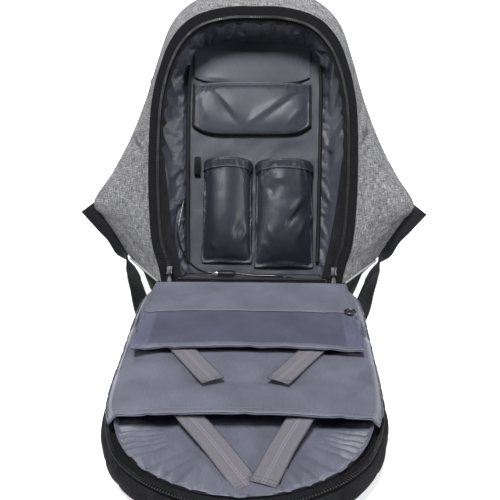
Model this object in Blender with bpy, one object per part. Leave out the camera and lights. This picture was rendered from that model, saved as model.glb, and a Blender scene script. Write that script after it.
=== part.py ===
"""Anti theft backpack, opened wide: the shell leans back and the back panel lies on the floor.

Metres, +Z up, +X to the right and +Y away from whoever looks into the bag.
The origin is the middle of the flat strip of the base that stands on the floor.
The shell has its own frame, set by shell_point: u to the right, v up the leaning
rim, and w square to the rim plane, away from the viewer.
"""
import math

import bmesh
import bpy
import numpy as np
from mathutils import Vector

# Driving sizes of the shell
LEAN = math.radians(33.0)
RIM_LENGTH = 0.426
RIM_HALF_WIDTH = 0.145
SHELL_LENGTH = 0.490
WING_REACH = 0.231
SIDE_DEPTH = 0.062
FRONT_BULGE = 0.037
BASE_DEPTH = 0.066
FOOT_RISE = 0.008
SHELL_WALL = 0.003
BASE_WALL = 0.002
SEAM_GAP = 0.0020
PIPING_RADIUS = 0.0015

# Driving sizes of the lining and what is sewn on it
LINING_WALL = 0.0012
LINING_INSET = 0.005
LINING_HALF_WIDTH = 0.097
LINING_TOP = 0.400
LINING_DEPTH = 0.066
LINING_TAPER = 0.05
FLOOR_FRONT_RISE = 0.022
FLOOR_BACK_RISE = 0.050
POCKET_WALL = 0.0012
PIPING_COVER_RADIUS = 0.0028

# Driving sizes of the zip and its guards
TAPE_WIDTH = 0.015
TAPE_THICKNESS = 0.0012
CHAIN_WIDTH = 0.004
CHAIN_THICKNESS = 0.002
GUARD_TOP = 0.204

# Driving sizes of the back panel
PANEL_LENGTH = 0.410
PANEL_HALF_WIDTH = 0.146
STRAP_THICKNESS = 0.012
PAD_THICKNESS = 0.024
PANEL_ROOM = 0.017
PANEL_INSET = 0.016
TABLET_ROOM = 0.0065
LAPTOP_MOUTH = 0.727 * PANEL_LENGTH
TABLET_MOUTH = 0.432 * PANEL_LENGTH
TABLET_HALF_WIDTH = 0.127
HEM_WIDTH = 0.008

# Driving sizes of the straps
BAND_WIDTH = 0.025
BAND_THICKNESS = 0.0015
WEBBING_WIDTH = 0.026
WEBBING_THICKNESS = 0.0016
STRAP_WIDTH = 0.062
STRAP_SOFTNESS = 0.0036
ADJUSTER_LENGTH = 0.026
ADJUSTER_WIDTH = 0.034
ADJUSTER_THICKNESS = 0.0072
ADJUSTER_ROUNDING = 0.001
BAND_SAG = 0.002
BAND_MEETING = 0.934 * PANEL_LENGTH
BAND_MIDDLE = 0.013
LAPTOP_BAND_OUT = 0.060
TABLET_BAND_OUT = 0.079
TABLET_BAND_END_OUT = 0.033
TABLET_BAND_REACH = 0.066
BAND_TUCK = 0.015
TWIST_DEPTH = 0.012

# Driving sizes of the small pieces
SLIDER_RISE = 0.036
SLIDER_LENGTH = 0.034
PIPING_LOW = 0.170
PIPING_HIGH = 0.900
PHONE_LOW = 0.256
PHONE_SLIT = 0.331
PHONE_HIGH = 0.384
PHONE_SWELL = 0.009
ZIP_GAP = 0.003
TALL_LOW = 0.066
TALL_HIGH = 0.212
TALL_SWELL = 0.030
LOOP_PLACE = -0.84
LOOP_RISE = 0.207
LOOP_LENGTH = 0.028
LOOP_REACH = 0.009
LOOP_WIDTH = 0.008
HINGE_CLOTH = 0.0012
BINDING_RADIUS = 0.0022
PANEL_TRAY_START = 0.002
MOUTH_BOW = 0.008
LAPTOP_CROWN = 0.002
TABLET_CROWN = 0.002

CABLE_DIAMETER = 0.0032
COUPLER_WIDTH = 0.011
COUPLER_THICKNESS = 0.007
CLEARANCE = 0.0004

# Places that follow from the sizes
HINGE_Z = BASE_DEPTH * math.sin(LEAN)
FOOT_DEPTH = (HINGE_Z + FOOT_RISE * math.cos(LEAN)) / math.sin(LEAN)
FOOT_NEAR = BASE_DEPTH * math.cos(LEAN)
FOOT_FAR = FOOT_RISE * math.sin(LEAN) + FOOT_DEPTH * math.cos(LEAN)
HINGE_Y = -(FOOT_NEAR + FOOT_FAR) / 2
PANEL_START = HINGE_Y - HINGE_CLOTH - 2 * CLEARANCE
PAD_BOTTOM = STRAP_THICKNESS + CLEARANCE
PAD_TOP = PAD_BOTTOM + PAD_THICKNESS
TRAY_FLOOR = PAD_TOP + TAPE_THICKNESS + 2 * CLEARANCE
LAPTOP_SHEET = TRAY_FLOOR + LINING_WALL + PANEL_ROOM
TABLET_SHEET = LAPTOP_SHEET + LINING_WALL + TABLET_ROOM

# Rows of the shell's side wall, from its bottom seam up to the middle of the top.
# Columns: rim_v and rim_u, the rim's height and half width as shares of RIM_LENGTH and
# RIM_HALF_WIDTH; fold_v, fold_u and fold_w, the fold's height, half width and depth as
# shares of SHELL_LENGTH, WING_REACH and SIDE_DEPTH; bulge, as a share of FRONT_BULGE.
SIDE_ROWS = (
    (0.063, 0.830, 0.153, 0.762, 1.00, 0.62),
    (0.118, 0.865, 0.210, 0.843, 1.00, 0.80),
    (0.190, 0.932, 0.264, 0.925, 1.00, 0.92),
    (0.305, 0.972, 0.316, 1.000, 1.00, 1.00),
    (0.434, 0.994, 0.408, 0.894, 1.00, 1.00),
    (0.563, 1.000, 0.514, 0.792, 1.00, 0.96),
    (0.681, 0.984, 0.643, 0.701, 0.99, 0.88),
    (0.798, 0.916, 0.771, 0.632, 0.96, 0.76),
    (0.897, 0.786, 0.882, 0.554, 0.90, 0.58),
    (0.965, 0.580, 0.951, 0.424, 0.84, 0.38),
    (0.996, 0.290, 0.992, 0.216, 0.79, 0.16),
    (1.000, 0.000, 1.000, 0.000, 0.77, 0.00),
)
# Rows of the base under that seam, with the same columns, from the hinge up.
BASE_ROWS = (
    (0.000, 0.860, 0.000, 0.563, BASE_DEPTH / SIDE_DEPTH, 0.00),
    (0.007, 0.850, FOOT_RISE / SHELL_LENGTH, 0.580, FOOT_DEPTH / SIDE_DEPTH, 0.00),
    (0.024, 0.842, 0.066, 0.636, 1.17, 0.32),
    (0.044, 0.836, 0.108, 0.672, 1.06, 0.50),
)
# Folds pressed into the side wall. Columns: height as a share of SHELL_LENGTH, then half
# spread and depth as shares of SIDE_DEPTH.
FOLDS = (
    (0.30, 0.22, 0.035),
    (0.52, 0.16, 0.060),
    (0.60, 0.14, 0.045),
)
# Rows of the lining. Columns: corner_v and corner_u, its corner line's height and half
# width as shares of LINING_TOP and LINING_HALF_WIDTH; rim_v and rim_u, the shares of the
# rim that the row starts from.
LINING_ROWS = (
    (0.125, 0.960, 0.052, 0.825),
    (0.200, 0.970, 0.118, 0.865),
    (0.310, 0.985, 0.220, 0.945),
    (0.430, 0.995, 0.360, 0.982),
    (0.580, 1.010, 0.520, 1.000),
    (0.730, 1.020, 0.665, 0.987),
    (0.860, 1.020, 0.798, 0.916),
    (0.945, 0.970, 0.897, 0.786),
    (0.982, 0.780, 0.965, 0.580),
    (0.996, 0.400, 0.996, 0.290),
    (1.000, 0.000, 1.000, 0.000),
)
# The back panel's outline. Columns: distance from the hinge as a share of PANEL_LENGTH
# and half width as a share of PANEL_HALF_WIDTH.
PANEL_ROWS = (
    (0.000, 0.925),
    (0.040, 0.978),
    (0.180, 1.000),
    (0.450, 0.995),
    (0.620, 0.985),
    (0.720, 0.945),
    (0.830, 0.835),
    (0.910, 0.655),
    (0.965, 0.420),
    (0.992, 0.200),
    (1.000, 0.000),
)
# A shoulder strap seen from above. Columns: distance from the hinge and from the middle,
# as shares of PANEL_LENGTH and PANEL_HALF_WIDTH.
STRAP_ROWS = (
    (0.880, 0.290),
    (0.760, 0.425),
    (0.600, 0.600),
    (0.420, 0.690),
    (0.290, 0.720),
)
# Half of the tray's section. Columns: place as a share of the floor's half width, height
# as a share of the wall's, and how far the point leans out as a share of PANEL_INSET.
TRAY_ROWS = (
    (-1.0, 1.0, 0.55),
    (-1.0, 0.5, 0.45),
    (-1.0, 0.0, 0.0),
    (-0.6, 0.0, 0.0),
    (-0.2, 0.0, 0.0),
)
# Where the webbing is sewn behind the wing's lower edge. Columns: share of the way up
# that edge, then how far out of it and how far behind it its middle lies, in
# WEBBING_WIDTH.
WEBBING_ROWS = (
    (0.35, 0.06, 0.38),
    (0.65, 0.22, 0.24),
    (1.00, 0.42, 0.14),
)
# A zip slider and its pull. Columns: place along it, half width and thickness, all as
# shares of SLIDER_LENGTH.
SLIDER_ROWS = (
    (-0.65, 0.07, 0.05),
    (-0.55, 0.12, 0.05),
    (-0.05, 0.12, 0.05),
    (0.00, 0.11, 0.16),
    (0.30, 0.12, 0.16),
    (0.36, 0.08, 0.10),
)
# The inner edge of a zip guard. Columns: height as a share of GUARD_TOP and half width as
# a share of RIM_HALF_WIDTH.
GUARD_ROWS = (
    (0.16, 0.640),
    (0.43, 0.728),
    (0.70, 0.793),
    (1.00, 0.848),
)
# The tray's side walls. Columns: distance from the hinge as a share of PANEL_LENGTH and
# height as a share of the room under the laptop pocket.
TRAY_WALL_ROWS = (
    (0.00, 1.00),
    (0.55, 1.00),
    (0.74, 0.62),
    (0.90, 0.16),
    (1.00, 0.10),
)
# The padded back's edge. Columns: height as a share of PAD_THICKNESS and how far the
# outline is drawn in, in metres.
PAD_ROWS = (
    (0.00, 0.009),
    (0.20, 0.002),
    (0.45, 0.000),
    (0.80, 0.000),
    (1.00, 0.004),
)
# The inline coupler. Columns: place as a share of its half length and size as a share of
# its full section.
COUPLER_ROWS = (
    (-1.00, 0.45),
    (-0.55, 0.50),
    (-0.45, 1.00),
    (0.80, 1.00),
    (1.00, 0.60),
)
# Pockets on the lining. Columns: left and right edge as shares of LINING_HALF_WIDTH, low
# and high edge, and how far it swells, in metres.
PHONE_EDGES = (-0.92, 0.84)
TALL_ROWS = {
    "left": (-0.740, -0.016, TALL_LOW, TALL_HIGH, TALL_SWELL),
    "right": (0.030, 0.880, TALL_LOW - 0.006, TALL_HIGH - 0.002, TALL_SWELL * 1.1),
}
# Where the lead runs in the open shell. Columns: side, height and depth behind the rim
# plane, in metres. The points were chosen by hand along the route that it takes.
LEAD_UPPER = (
    (-0.0990, 0.1580, 0.0510),
    (-0.1000, 0.1480, 0.0480),
    (-0.1025, 0.1300, 0.0440),
    (-0.1045, 0.1120, 0.0410),
    (-0.1040, 0.0960, 0.0400),
    (-0.0985, 0.0800, 0.0420),
    (-0.0900, 0.0660, 0.0450),
    (-0.0790, 0.0560, 0.0480),
    (-0.0680, 0.0510, 0.0495),
    (-0.0560, 0.0497, 0.0500),
)
LEAD_LOWER = (
    (-0.0220, 0.0490, 0.0500),
    (-0.0120, 0.0476, 0.0500),
    (0.0020, 0.0463, 0.0500),
    (0.0180, 0.0461, 0.0500),
    (0.0330, 0.0457, 0.0490),
    (0.0460, 0.0436, 0.0440),
    (0.0560, 0.0398, 0.0355),
    (0.0615, 0.0345, 0.0235),
    (0.0635, 0.0300, 0.0120),
    (0.0640, 0.0268, 0.0050),
)


def material(name, colour, roughness, metallic=0.0):
    """A plain surface finish."""
    finish = bpy.data.materials.new(name)
    finish.use_nodes = True
    shader = finish.node_tree.nodes["Principled BSDF"]
    shader.inputs["Base Color"].default_value = (*colour, 1.0)
    shader.inputs["Roughness"].default_value = roughness
    shader.inputs["Metallic"].default_value = metallic
    return finish


def shell_point(u, v, w):
    """A point of the shell's own frame, in the model's frame."""
    y = HINGE_Y + v * math.sin(LEAN) + w * math.cos(LEAN)
    z = HINGE_Z + v * math.cos(LEAN) - w * math.sin(LEAN)
    return Vector((u, y, z))


def add_object(name, verts, faces, finish, smooth=True):
    """One named object from points and faces, its doubles merged."""
    mesh = bpy.data.meshes.new(name)
    mesh.from_pydata([tuple(p) for p in verts], [], faces)
    bm = bmesh.new()
    bm.from_mesh(mesh)
    bmesh.ops.remove_doubles(bm, verts=bm.verts, dist=0.00002)
    bmesh.ops.recalc_face_normals(bm, faces=bm.faces)
    bm.to_mesh(mesh)
    bm.free()
    mesh.materials.append(finish)
    if smooth:
        mesh.shade_smooth()
        mesh.set_sharp_from_angle(angle=math.radians(40))
    obj = bpy.data.objects.new(name, mesh)
    bpy.context.scene.collection.objects.link(obj)
    return obj


def spline(rows, steps):
    """Catmull-Rom curve through the rows, with steps points to each stretch."""
    rows = np.asarray(rows, float)
    ends = np.vstack((2 * rows[0] - rows[1], rows, 2 * rows[-1] - rows[-2]))
    out = []
    for k in range(len(rows) - 1):
        a, b, c, d = ends[k:k + 4]
        for t in np.arange(steps) / steps:
            out.append(0.5 * (2 * b + (c - a) * t + (2 * a - 5 * b + 4 * c - d) * t ** 2
                              + (3 * b - a - 3 * c + d) * t ** 3))
    out.append(rows[-1])
    return np.array(out)


def thicken(name, grid, wall, finish, closed_rows=False):
    """A sheet of cloth: the grid is its face, and wall is added behind it.

    The grid is rows by columns by xyz. Its face looks along the cross product of the
    step along a row and the step to the next row.
    """
    grid = np.asarray(grid, float)
    rows, cols = grid.shape[:2]
    if closed_rows:
        along = np.roll(grid, -1, axis=1) - np.roll(grid, 1, axis=1)
    else:
        along = np.gradient(grid, axis=1)
    across = np.gradient(grid, axis=0)
    normal = np.cross(along, across)
    normal /= np.maximum(np.linalg.norm(normal, axis=2, keepdims=True), 1e-12)
    back = grid - normal * wall
    verts = np.concatenate((grid.reshape(-1, 3), back.reshape(-1, 3)))
    count = rows * cols
    faces = []
    last = cols if closed_rows else cols - 1
    for r in range(rows - 1):
        for c in range(last):
            d = (c + 1) % cols
            a, b = r * cols + c, r * cols + d
            e, f = (r + 1) * cols + c, (r + 1) * cols + d
            faces.append((a, b, f, e))
            faces.append((count + a, count + e, count + f, count + b))
    for c in range(last):
        d = (c + 1) % cols
        top = (rows - 1) * cols
        faces.append((c, count + c, count + d, d))
        faces.append((top + c, top + d, count + top + d, count + top + c))
    if not closed_rows:
        for r in range(rows - 1):
            a, e = r * cols, (r + 1) * cols
            b, f = a + cols - 1, e + cols - 1
            faces.append((a, e, count + e, count + a))
            faces.append((b, count + b, count + f, f))
    return add_object(name, verts, faces, finish)


def ribbon(name, centres, sides, width, thickness, finish, bevel=0.0):
    """A flat strap: a rectangle carried along the centres, wide along each side vector.

    With a bevel, its four long edges are cut off by that much.
    """
    centres = np.asarray(centres, float)
    sides = np.array(sides, float)
    tangents = np.gradient(centres, axis=0)
    tangents /= np.linalg.norm(tangents, axis=1, keepdims=True)
    sides -= tangents * np.sum(sides * tangents, axis=1, keepdims=True)
    sides /= np.linalg.norm(sides, axis=1, keepdims=True)
    normals = np.cross(tangents, sides)
    half, thick = width / 2, thickness / 2
    corners = []
    for out, up in ((1, 1), (-1, 1), (-1, -1), (1, -1)):
        if bevel:
            ways = ((0, bevel), (bevel, 0)) if out == up else ((bevel, 0), (0, bevel))
            corners.extend((out * (half - a), up * (thick - b)) for a, b in ways)
        else:
            corners.append((out * half, up * thick))
    rings = np.stack([centres + sides * a + normals * b for a, b in corners], axis=1)
    return loft(name, rings, finish)


def loft(name, rings, finish, smooth=True):
    """A closed body through rings of equal counts, with both ends filled."""
    rings = np.asarray(rings, float)
    count, size = rings.shape[:2]
    faces = []
    for r in range(count - 1):
        for c in range(size):
            d = (c + 1) % size
            faces.append((r * size + c, r * size + d, (r + 1) * size + d, (r + 1) * size + c))
    faces.append(tuple(range(size))[::-1])
    faces.append(tuple((count - 1) * size + c for c in range(size)))
    return add_object(name, rings.reshape(-1, 3), faces, finish, smooth)


def tube(name, points, radius, finish, resolution=2):
    """A round cord along points, as a bevelled poly curve with filled caps."""
    data = bpy.data.curves.new(name, "CURVE")
    data.dimensions = "3D"
    line = data.splines.new("POLY")
    line.points.add(len(points) - 1)
    for target, point in zip(line.points, points):
        target.co = (*point, 1.0)
    data.bevel_depth = radius
    data.bevel_resolution = resolution
    data.use_fill_caps = True
    data.materials.append(finish)
    obj = bpy.data.objects.new(name, data)
    bpy.context.scene.collection.objects.link(obj)
    return obj


def bowl(name, rim, corner, bulge, steps, wall, offset, finish, floor):
    """A soft bowl: side walls from the rim to a corner line, and a crowned face between.

    rim and corner hold a (u, v, w) row for each height on the right side. The left side
    mirrors it. The face between the corner lines swells by bulge, and floor adds the
    bottom between the lowest rows. Cloth of the given wall lies inside the outline for an
    offset of -1 and outside it for 1.
    """
    side_steps, face_steps, outward = steps
    rows = []
    for low, high, swell in zip(rim, corner, bulge):
        side = [low + (high - low) * t for t in np.linspace(0, 1, side_steps + 1)]
        for point, t in zip(side, np.linspace(0, 1, side_steps + 1)):
            point[2] += side_fold(point[1], t) * outward
        row = [p * (-1, 1, 1) for p in side]
        for p in np.linspace(-1, 1, face_steps + 1)[1:-1]:
            row.append(np.array((high[0] * p, high[1], high[2] + swell * (1 - p * p))))
        row.extend(side[::-1])
        rows.append(row)
    verts = [shell_point(*p) for row in rows for p in row]
    cols = len(rows[0])
    faces = []
    for r in range(len(rows) - 1):
        for c in range(cols - 1):
            a, e = r * cols + c, (r + 1) * cols + c
            faces.append((a, a + 1, e + 1, e))
    if floor:
        start = len(verts)
        span = np.linspace(-1, 1, face_steps + 1)
        for t in np.linspace(0, 1, side_steps + 1):
            base = rim[0] + (corner[0] - rim[0]) * t
            for p in span:
                swell = bulge[0] * (1 - p * p) * t
                verts.append(shell_point(base[0] * p, base[1], base[2] + swell))
        size = face_steps + 1
        for r in range(side_steps):
            for c in range(face_steps):
                a, e = start + r * size + c, start + (r + 1) * size + c
                faces.append((a, a + 1, e + 1, e))
    obj = add_object(name, verts, faces, finish)
    solid = obj.modifiers.new("wall", "SOLIDIFY")
    solid.thickness = wall
    solid.offset = offset
    solid.use_even_offset = True
    return obj


def side_fold(v, t):
    """How deep the folds press the side wall in, at height v and t across it."""
    depth = 0.0
    for height, spread, press in FOLDS:
        apart = (v - height * SHELL_LENGTH) / (spread * SIDE_DEPTH)
        depth += press * SIDE_DEPTH * math.exp(-apart * apart)
    return depth * math.sin(math.pi * t)


def shell_rows(table, steps):
    """Rim, fold and bulge arrays of a table of side rows."""
    rows = spline(table, steps) if steps > 1 else np.array(table)
    zero = np.zeros(len(rows))
    rim = np.column_stack((rows[:, 1] * RIM_HALF_WIDTH, rows[:, 0] * RIM_LENGTH, zero))
    fold = np.column_stack((
        rows[:, 3] * WING_REACH,
        rows[:, 2] * SHELL_LENGTH,
        rows[:, 4] * SIDE_DEPTH,
    ))
    rim[:, 0] = np.maximum(rim[:, 0], 0)
    fold[:, 0] = np.maximum(fold[:, 0], 0)
    return rim, fold, rows[:, 5] * FRONT_BULGE


def lining_depth(v):
    """Depth of the lining's back face at height v."""
    return LINING_DEPTH - LINING_TAPER * v


def rim_path(low, steps=2):
    """The rim in the u, v plane, from low on the right over the top to low on the left."""
    rows = spline([row[:2] for row in BASE_ROWS[1:] + SIDE_ROWS], steps)
    right = np.column_stack((rows[:, 1] * RIM_HALF_WIDTH, rows[:, 0] * RIM_LENGTH))
    right[:, 0] = np.maximum(right[:, 0], 0)
    right = right[right[:, 1] > low]
    left = right[::-1][1:] * (-1, 1)
    return np.vstack((right, left))


def inward(path):
    """Unit vectors that point to the inner side of the rim path."""
    step = np.gradient(path, axis=0)
    step /= np.linalg.norm(step, axis=1, keepdims=True)
    return np.column_stack((-step[:, 1], step[:, 0]))


def rim_ring(name, path, near, far, front, wall, finish):
    """A flat ring along the rim, from near to far inside it, with its face at depth front."""
    turn = inward(path)
    grid = []
    for inset in (near, far):
        edge = path + turn * inset
        grid.append([shell_point(u, v, front) for u, v in edge])
    return thicken(name, grid, wall, finish)


def pouch(name, left, right, low, high, swell, finish, shape, counts=(7, 10)):
    """A pocket sewn to the lining's back face on three sides and open at the top.

    shape "round" swells as half an ellipse across, "flat" as a low crown with soft edges.
    """
    rows, cols = counts
    middle, half = (left + right) / 2, (right - left) / 2
    grid = []
    for r in np.linspace(0, 1, rows):
        rise = min(1.0, 0.04 + 1.6 * math.sqrt(r)) if shape == "round" else min(1.0, 3 * r)
        row = []
        for turn in np.linspace(0, math.pi, cols):
            q = -math.cos(turn)
            if shape == "round":
                out = swell * math.sin(turn) * rise
            else:
                out = swell * (1 - q ** 4) * rise
            v = low + (high - low) * r
            if shape == "flat":
                v += (1 - r) * (high - low) * 0.18 * q ** 6
            back = lining_depth(v) - CLEARANCE - POCKET_WALL
            row.append(shell_point(middle + half * q, v, back - out))
        grid.append(row)
    return thicken(name, grid, POCKET_WALL, finish)


def panel_rows(steps=3):
    """Distance from the hinge and half width of the back panel's outline, in metres."""
    rows = spline(PANEL_ROWS, steps)
    rows[:, 1] = np.maximum(rows[:, 1], 0)
    return rows * (PANEL_LENGTH, PANEL_HALF_WIDTH)


def panel_half(along, inset=0.0):
    """Half width of the panel's outline at a distance from the hinge, less an inset."""
    rows = panel_rows()
    share = (PANEL_LENGTH - inset) / PANEL_LENGTH
    half = np.interp(along / share, rows[:, 0], rows[:, 1])
    return half * (PANEL_HALF_WIDTH - inset) / PANEL_HALF_WIDTH


def panel_ring(z, inset):
    """The panel's outline as a closed ring of points at height z, drawn in by inset."""
    rows = panel_rows(2)
    along = inset + rows[:, 0] * (PANEL_LENGTH - 2 * inset) / PANEL_LENGTH
    half = rows[:, 1] * (PANEL_HALF_WIDTH - inset) / PANEL_HALF_WIDTH
    right = [(x, PANEL_START - s, z) for s, x in zip(along, half)]
    left = [(-x, y, z) for x, y, _ in right[::-1][1:]]
    return right + left


def sheet_height(base, crown, mouth, along, q):
    """Height of a pocket sheet's face at a distance from the hinge and q across it."""
    return base + crown * (1 - q ** 6) * (0.4 + 0.6 * min(1.0, along / mouth))


def panel_sheet(name, start, mouth, stop, half_at, height, crown, finish):
    """A pocket sheet over the panel, from start to stop, crowned more towards its mouth.

    Its free edge bows back towards the viewer at both ends.
    """
    grid = []
    for t in np.linspace(0, 1, 9 if stop - start > 0.05 else 3):
        row = []
        for q in np.linspace(-1, 1, 13):
            straight = start + (stop - start) * t
            along = straight * (1 + MOUTH_BOW * q * q / mouth)
            z = sheet_height(height, crown, mouth, straight, q)
            row.append((half_at(along) * q, PANEL_START - along, z))
        grid.append(row)
    return thicken(name, grid[::-1], LINING_WALL, finish)


def make_shell(heather, black, pale):
    """The heather shell, the black base under its seam, and the piping on that seam."""
    rim, fold, bulge = shell_rows(SIDE_ROWS, 2)
    bowl("shell_front", rim, fold, bulge, (4, 12, 1), SHELL_WALL, -1, heather, False)
    base_rim, base_fold, base_bulge = shell_rows(BASE_ROWS, 1)
    seam_rim = rim[0] - (0, SEAM_GAP, 0)
    seam_fold = fold[0] - (0.3 * SEAM_GAP, 1.5 * SEAM_GAP, 0)
    base_rim = np.vstack((base_rim, seam_rim))
    base_fold = np.vstack((base_fold, seam_fold))
    base_bulge = np.append(base_bulge, bulge[0])
    bowl("base_panel", base_rim, base_fold, base_bulge, (4, 12, 0), BASE_WALL, -1, black, True)
    slope = (fold[0] - rim[0]) / np.linalg.norm(fold[0] - rim[0])
    away = np.array((slope[2], 0, -slope[0]))
    away /= np.linalg.norm(away)
    for side, label in ((-1, "left"), (1, "right")):
        line = []
        for t in np.linspace(0.06, 0.93, 8):
            point = seam_rim + (seam_fold - seam_rim) * t
            point = point + away * (PIPING_RADIUS + CLEARANCE)
            line.append(shell_point(side * point[0], point[1] + SEAM_GAP / 2, point[2]))
        tube("seam_piping_" + label, line, PIPING_RADIUS, pale)


def make_zip(tape, metal):
    """The zip's tape and chain round the rim, its inner guards and its two sliders."""
    path = rim_path(0.012)
    front = -CLEARANCE - TAPE_THICKNESS
    rim_ring("shell_zip_tape", path, 0, TAPE_WIDTH, front, TAPE_THICKNESS, tape)
    chain = front - CLEARANCE - CHAIN_THICKNESS
    inner = TAPE_WIDTH - CHAIN_WIDTH
    rim_ring("shell_zip_chain", path, inner, TAPE_WIDTH, chain, CHAIN_THICKNESS, tape)
    guard = spline(GUARD_ROWS, 3) * (GUARD_TOP, RIM_HALF_WIDTH)
    right = rim_path(0.012)
    right = right[: len(right) // 2]
    for side, label in ((-1, "left"), (1, "right")):
        grid = [[], []]
        for v, inner_u in guard:
            outer_u = np.interp(v, right[:, 1], right[:, 0]) - TAPE_WIDTH * 0.8
            grid[0].append(shell_point(side * outer_u, v, CLEARANCE))
            grid[1].append(shell_point(side * inner_u, v, CLEARANCE))
        if side < 0:
            grid = grid[::-1]
        thicken("zip_guard_" + label, grid, TAPE_THICKNESS, tape)
        along = right[np.searchsorted(right[:, 1], SLIDER_RISE)]
        centre = along[0] - inner - CHAIN_WIDTH / 2
        rings = []
        for rise, half, thick in SLIDER_ROWS:
            near = chain - CLEARANCE
            v = SLIDER_RISE + rise * SLIDER_LENGTH
            half_u = half * SLIDER_LENGTH
            far = near - thick * SLIDER_LENGTH
            u = side * centre
            rings.append([shell_point(u - half_u, v, near), shell_point(u + half_u, v, near),
                          shell_point(u + half_u, v, far), shell_point(u - half_u, v, far)])
        loft("zip_slider_" + label, rings, metal, False)


def make_lining(slate, black):
    """The slate lining bowl, its floor, and the piping that covers its two long seams."""
    rows = spline(LINING_ROWS, 2)
    high = np.maximum(rows[:, 0] * LINING_TOP, FLOOR_BACK_RISE)
    corner = np.column_stack((
        np.maximum(rows[:, 1], 0) * LINING_HALF_WIDTH,
        high,
        lining_depth(high),
    ))
    inset = LINING_INSET * np.minimum(1, rows[:, 3] * 4)
    rim = np.column_stack((
        np.maximum(rows[:, 3] * RIM_HALF_WIDTH - inset, 0),
        rows[:, 2] * RIM_LENGTH - LINING_INSET * rows[:, 2] ** 8,
        np.full(len(rows), CLEARANCE),
    ))
    bulge = np.zeros(len(rows))
    bowl("shell_lining", rim, corner, bulge, (3, 8, 0), LINING_WALL, 1, slate, True)
    off = PIPING_COVER_RADIUS
    for side, label in ((-1, "left"), (1, "right")):
        line = []
        for v in np.linspace(PIPING_LOW, PIPING_HIGH, 14) * LINING_TOP:
            u = np.interp(v, corner[:, 1], corner[:, 0]) - 0.75 * off
            line.append(shell_point(side * u, v, lining_depth(v) - off - 2 * CLEARANCE))
        tube("lining_piping_" + label, line, PIPING_COVER_RADIUS, black)


def make_shell_pockets(slate, black):
    """The phone pocket with its zip, two tall elastic pockets and a pen loop."""
    width = LINING_HALF_WIDTH
    left, right = (share * width for share in PHONE_EDGES)
    pouch("phone_pocket", left, right, PHONE_LOW, PHONE_SLIT, PHONE_SWELL, slate, "flat", (6, 12))
    pouch("phone_pocket_band", left, right, PHONE_SLIT + ZIP_GAP, PHONE_HIGH, CLEARANCE, slate,
          "flat", (4, 12))
    for label, (left, right, low, high, swell) in TALL_ROWS.items():
        pouch("tall_pocket_" + label, left * width, right * width, low, high, swell, slate, "round")
    line = []
    sides = []
    for turn in np.linspace(0.12, math.pi - 0.12, 7):
        out = LOOP_REACH * math.sin(turn)
        v = LOOP_RISE - LOOP_LENGTH / 2 * math.cos(turn)
        line.append(shell_point(LOOP_PLACE * width, v, lining_depth(v) - out))
        sides.append((1, 0, 0))
    ribbon("pen_loop", line, sides, LOOP_WIDTH, BAND_THICKNESS, black)


def make_hinge(black):
    """The cloth hinge between base and back panel, with its corded top edge."""
    half = 0.68 * RIM_HALF_WIDTH
    near = HINGE_Y - CLEARANCE - HINGE_CLOTH
    lift = FLOOR_FRONT_RISE * math.cos(LEAN)
    push = FLOOR_FRONT_RISE * math.sin(LEAN)
    profile = (
        (near, HINGE_Z - 0.6 * lift),
        (near, HINGE_Z + 0.3 * lift),
        (near + 0.1 * push, HINGE_Z + 0.6 * lift),
        (near + 0.45 * push, HINGE_Z + 0.82 * lift),
    )
    grid = [[(half * q, y, z) for q in np.linspace(-1, 1, 11)] for y, z in profile]
    thicken("hinge_cloth", grid, HINGE_CLOTH, black)
    line = []
    for q in np.linspace(-1, 1, 13):
        line.append(shell_point(half * q, FLOOR_FRONT_RISE, -BINDING_RADIUS))
    tube("hinge_binding", line, BINDING_RADIUS, black)


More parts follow.
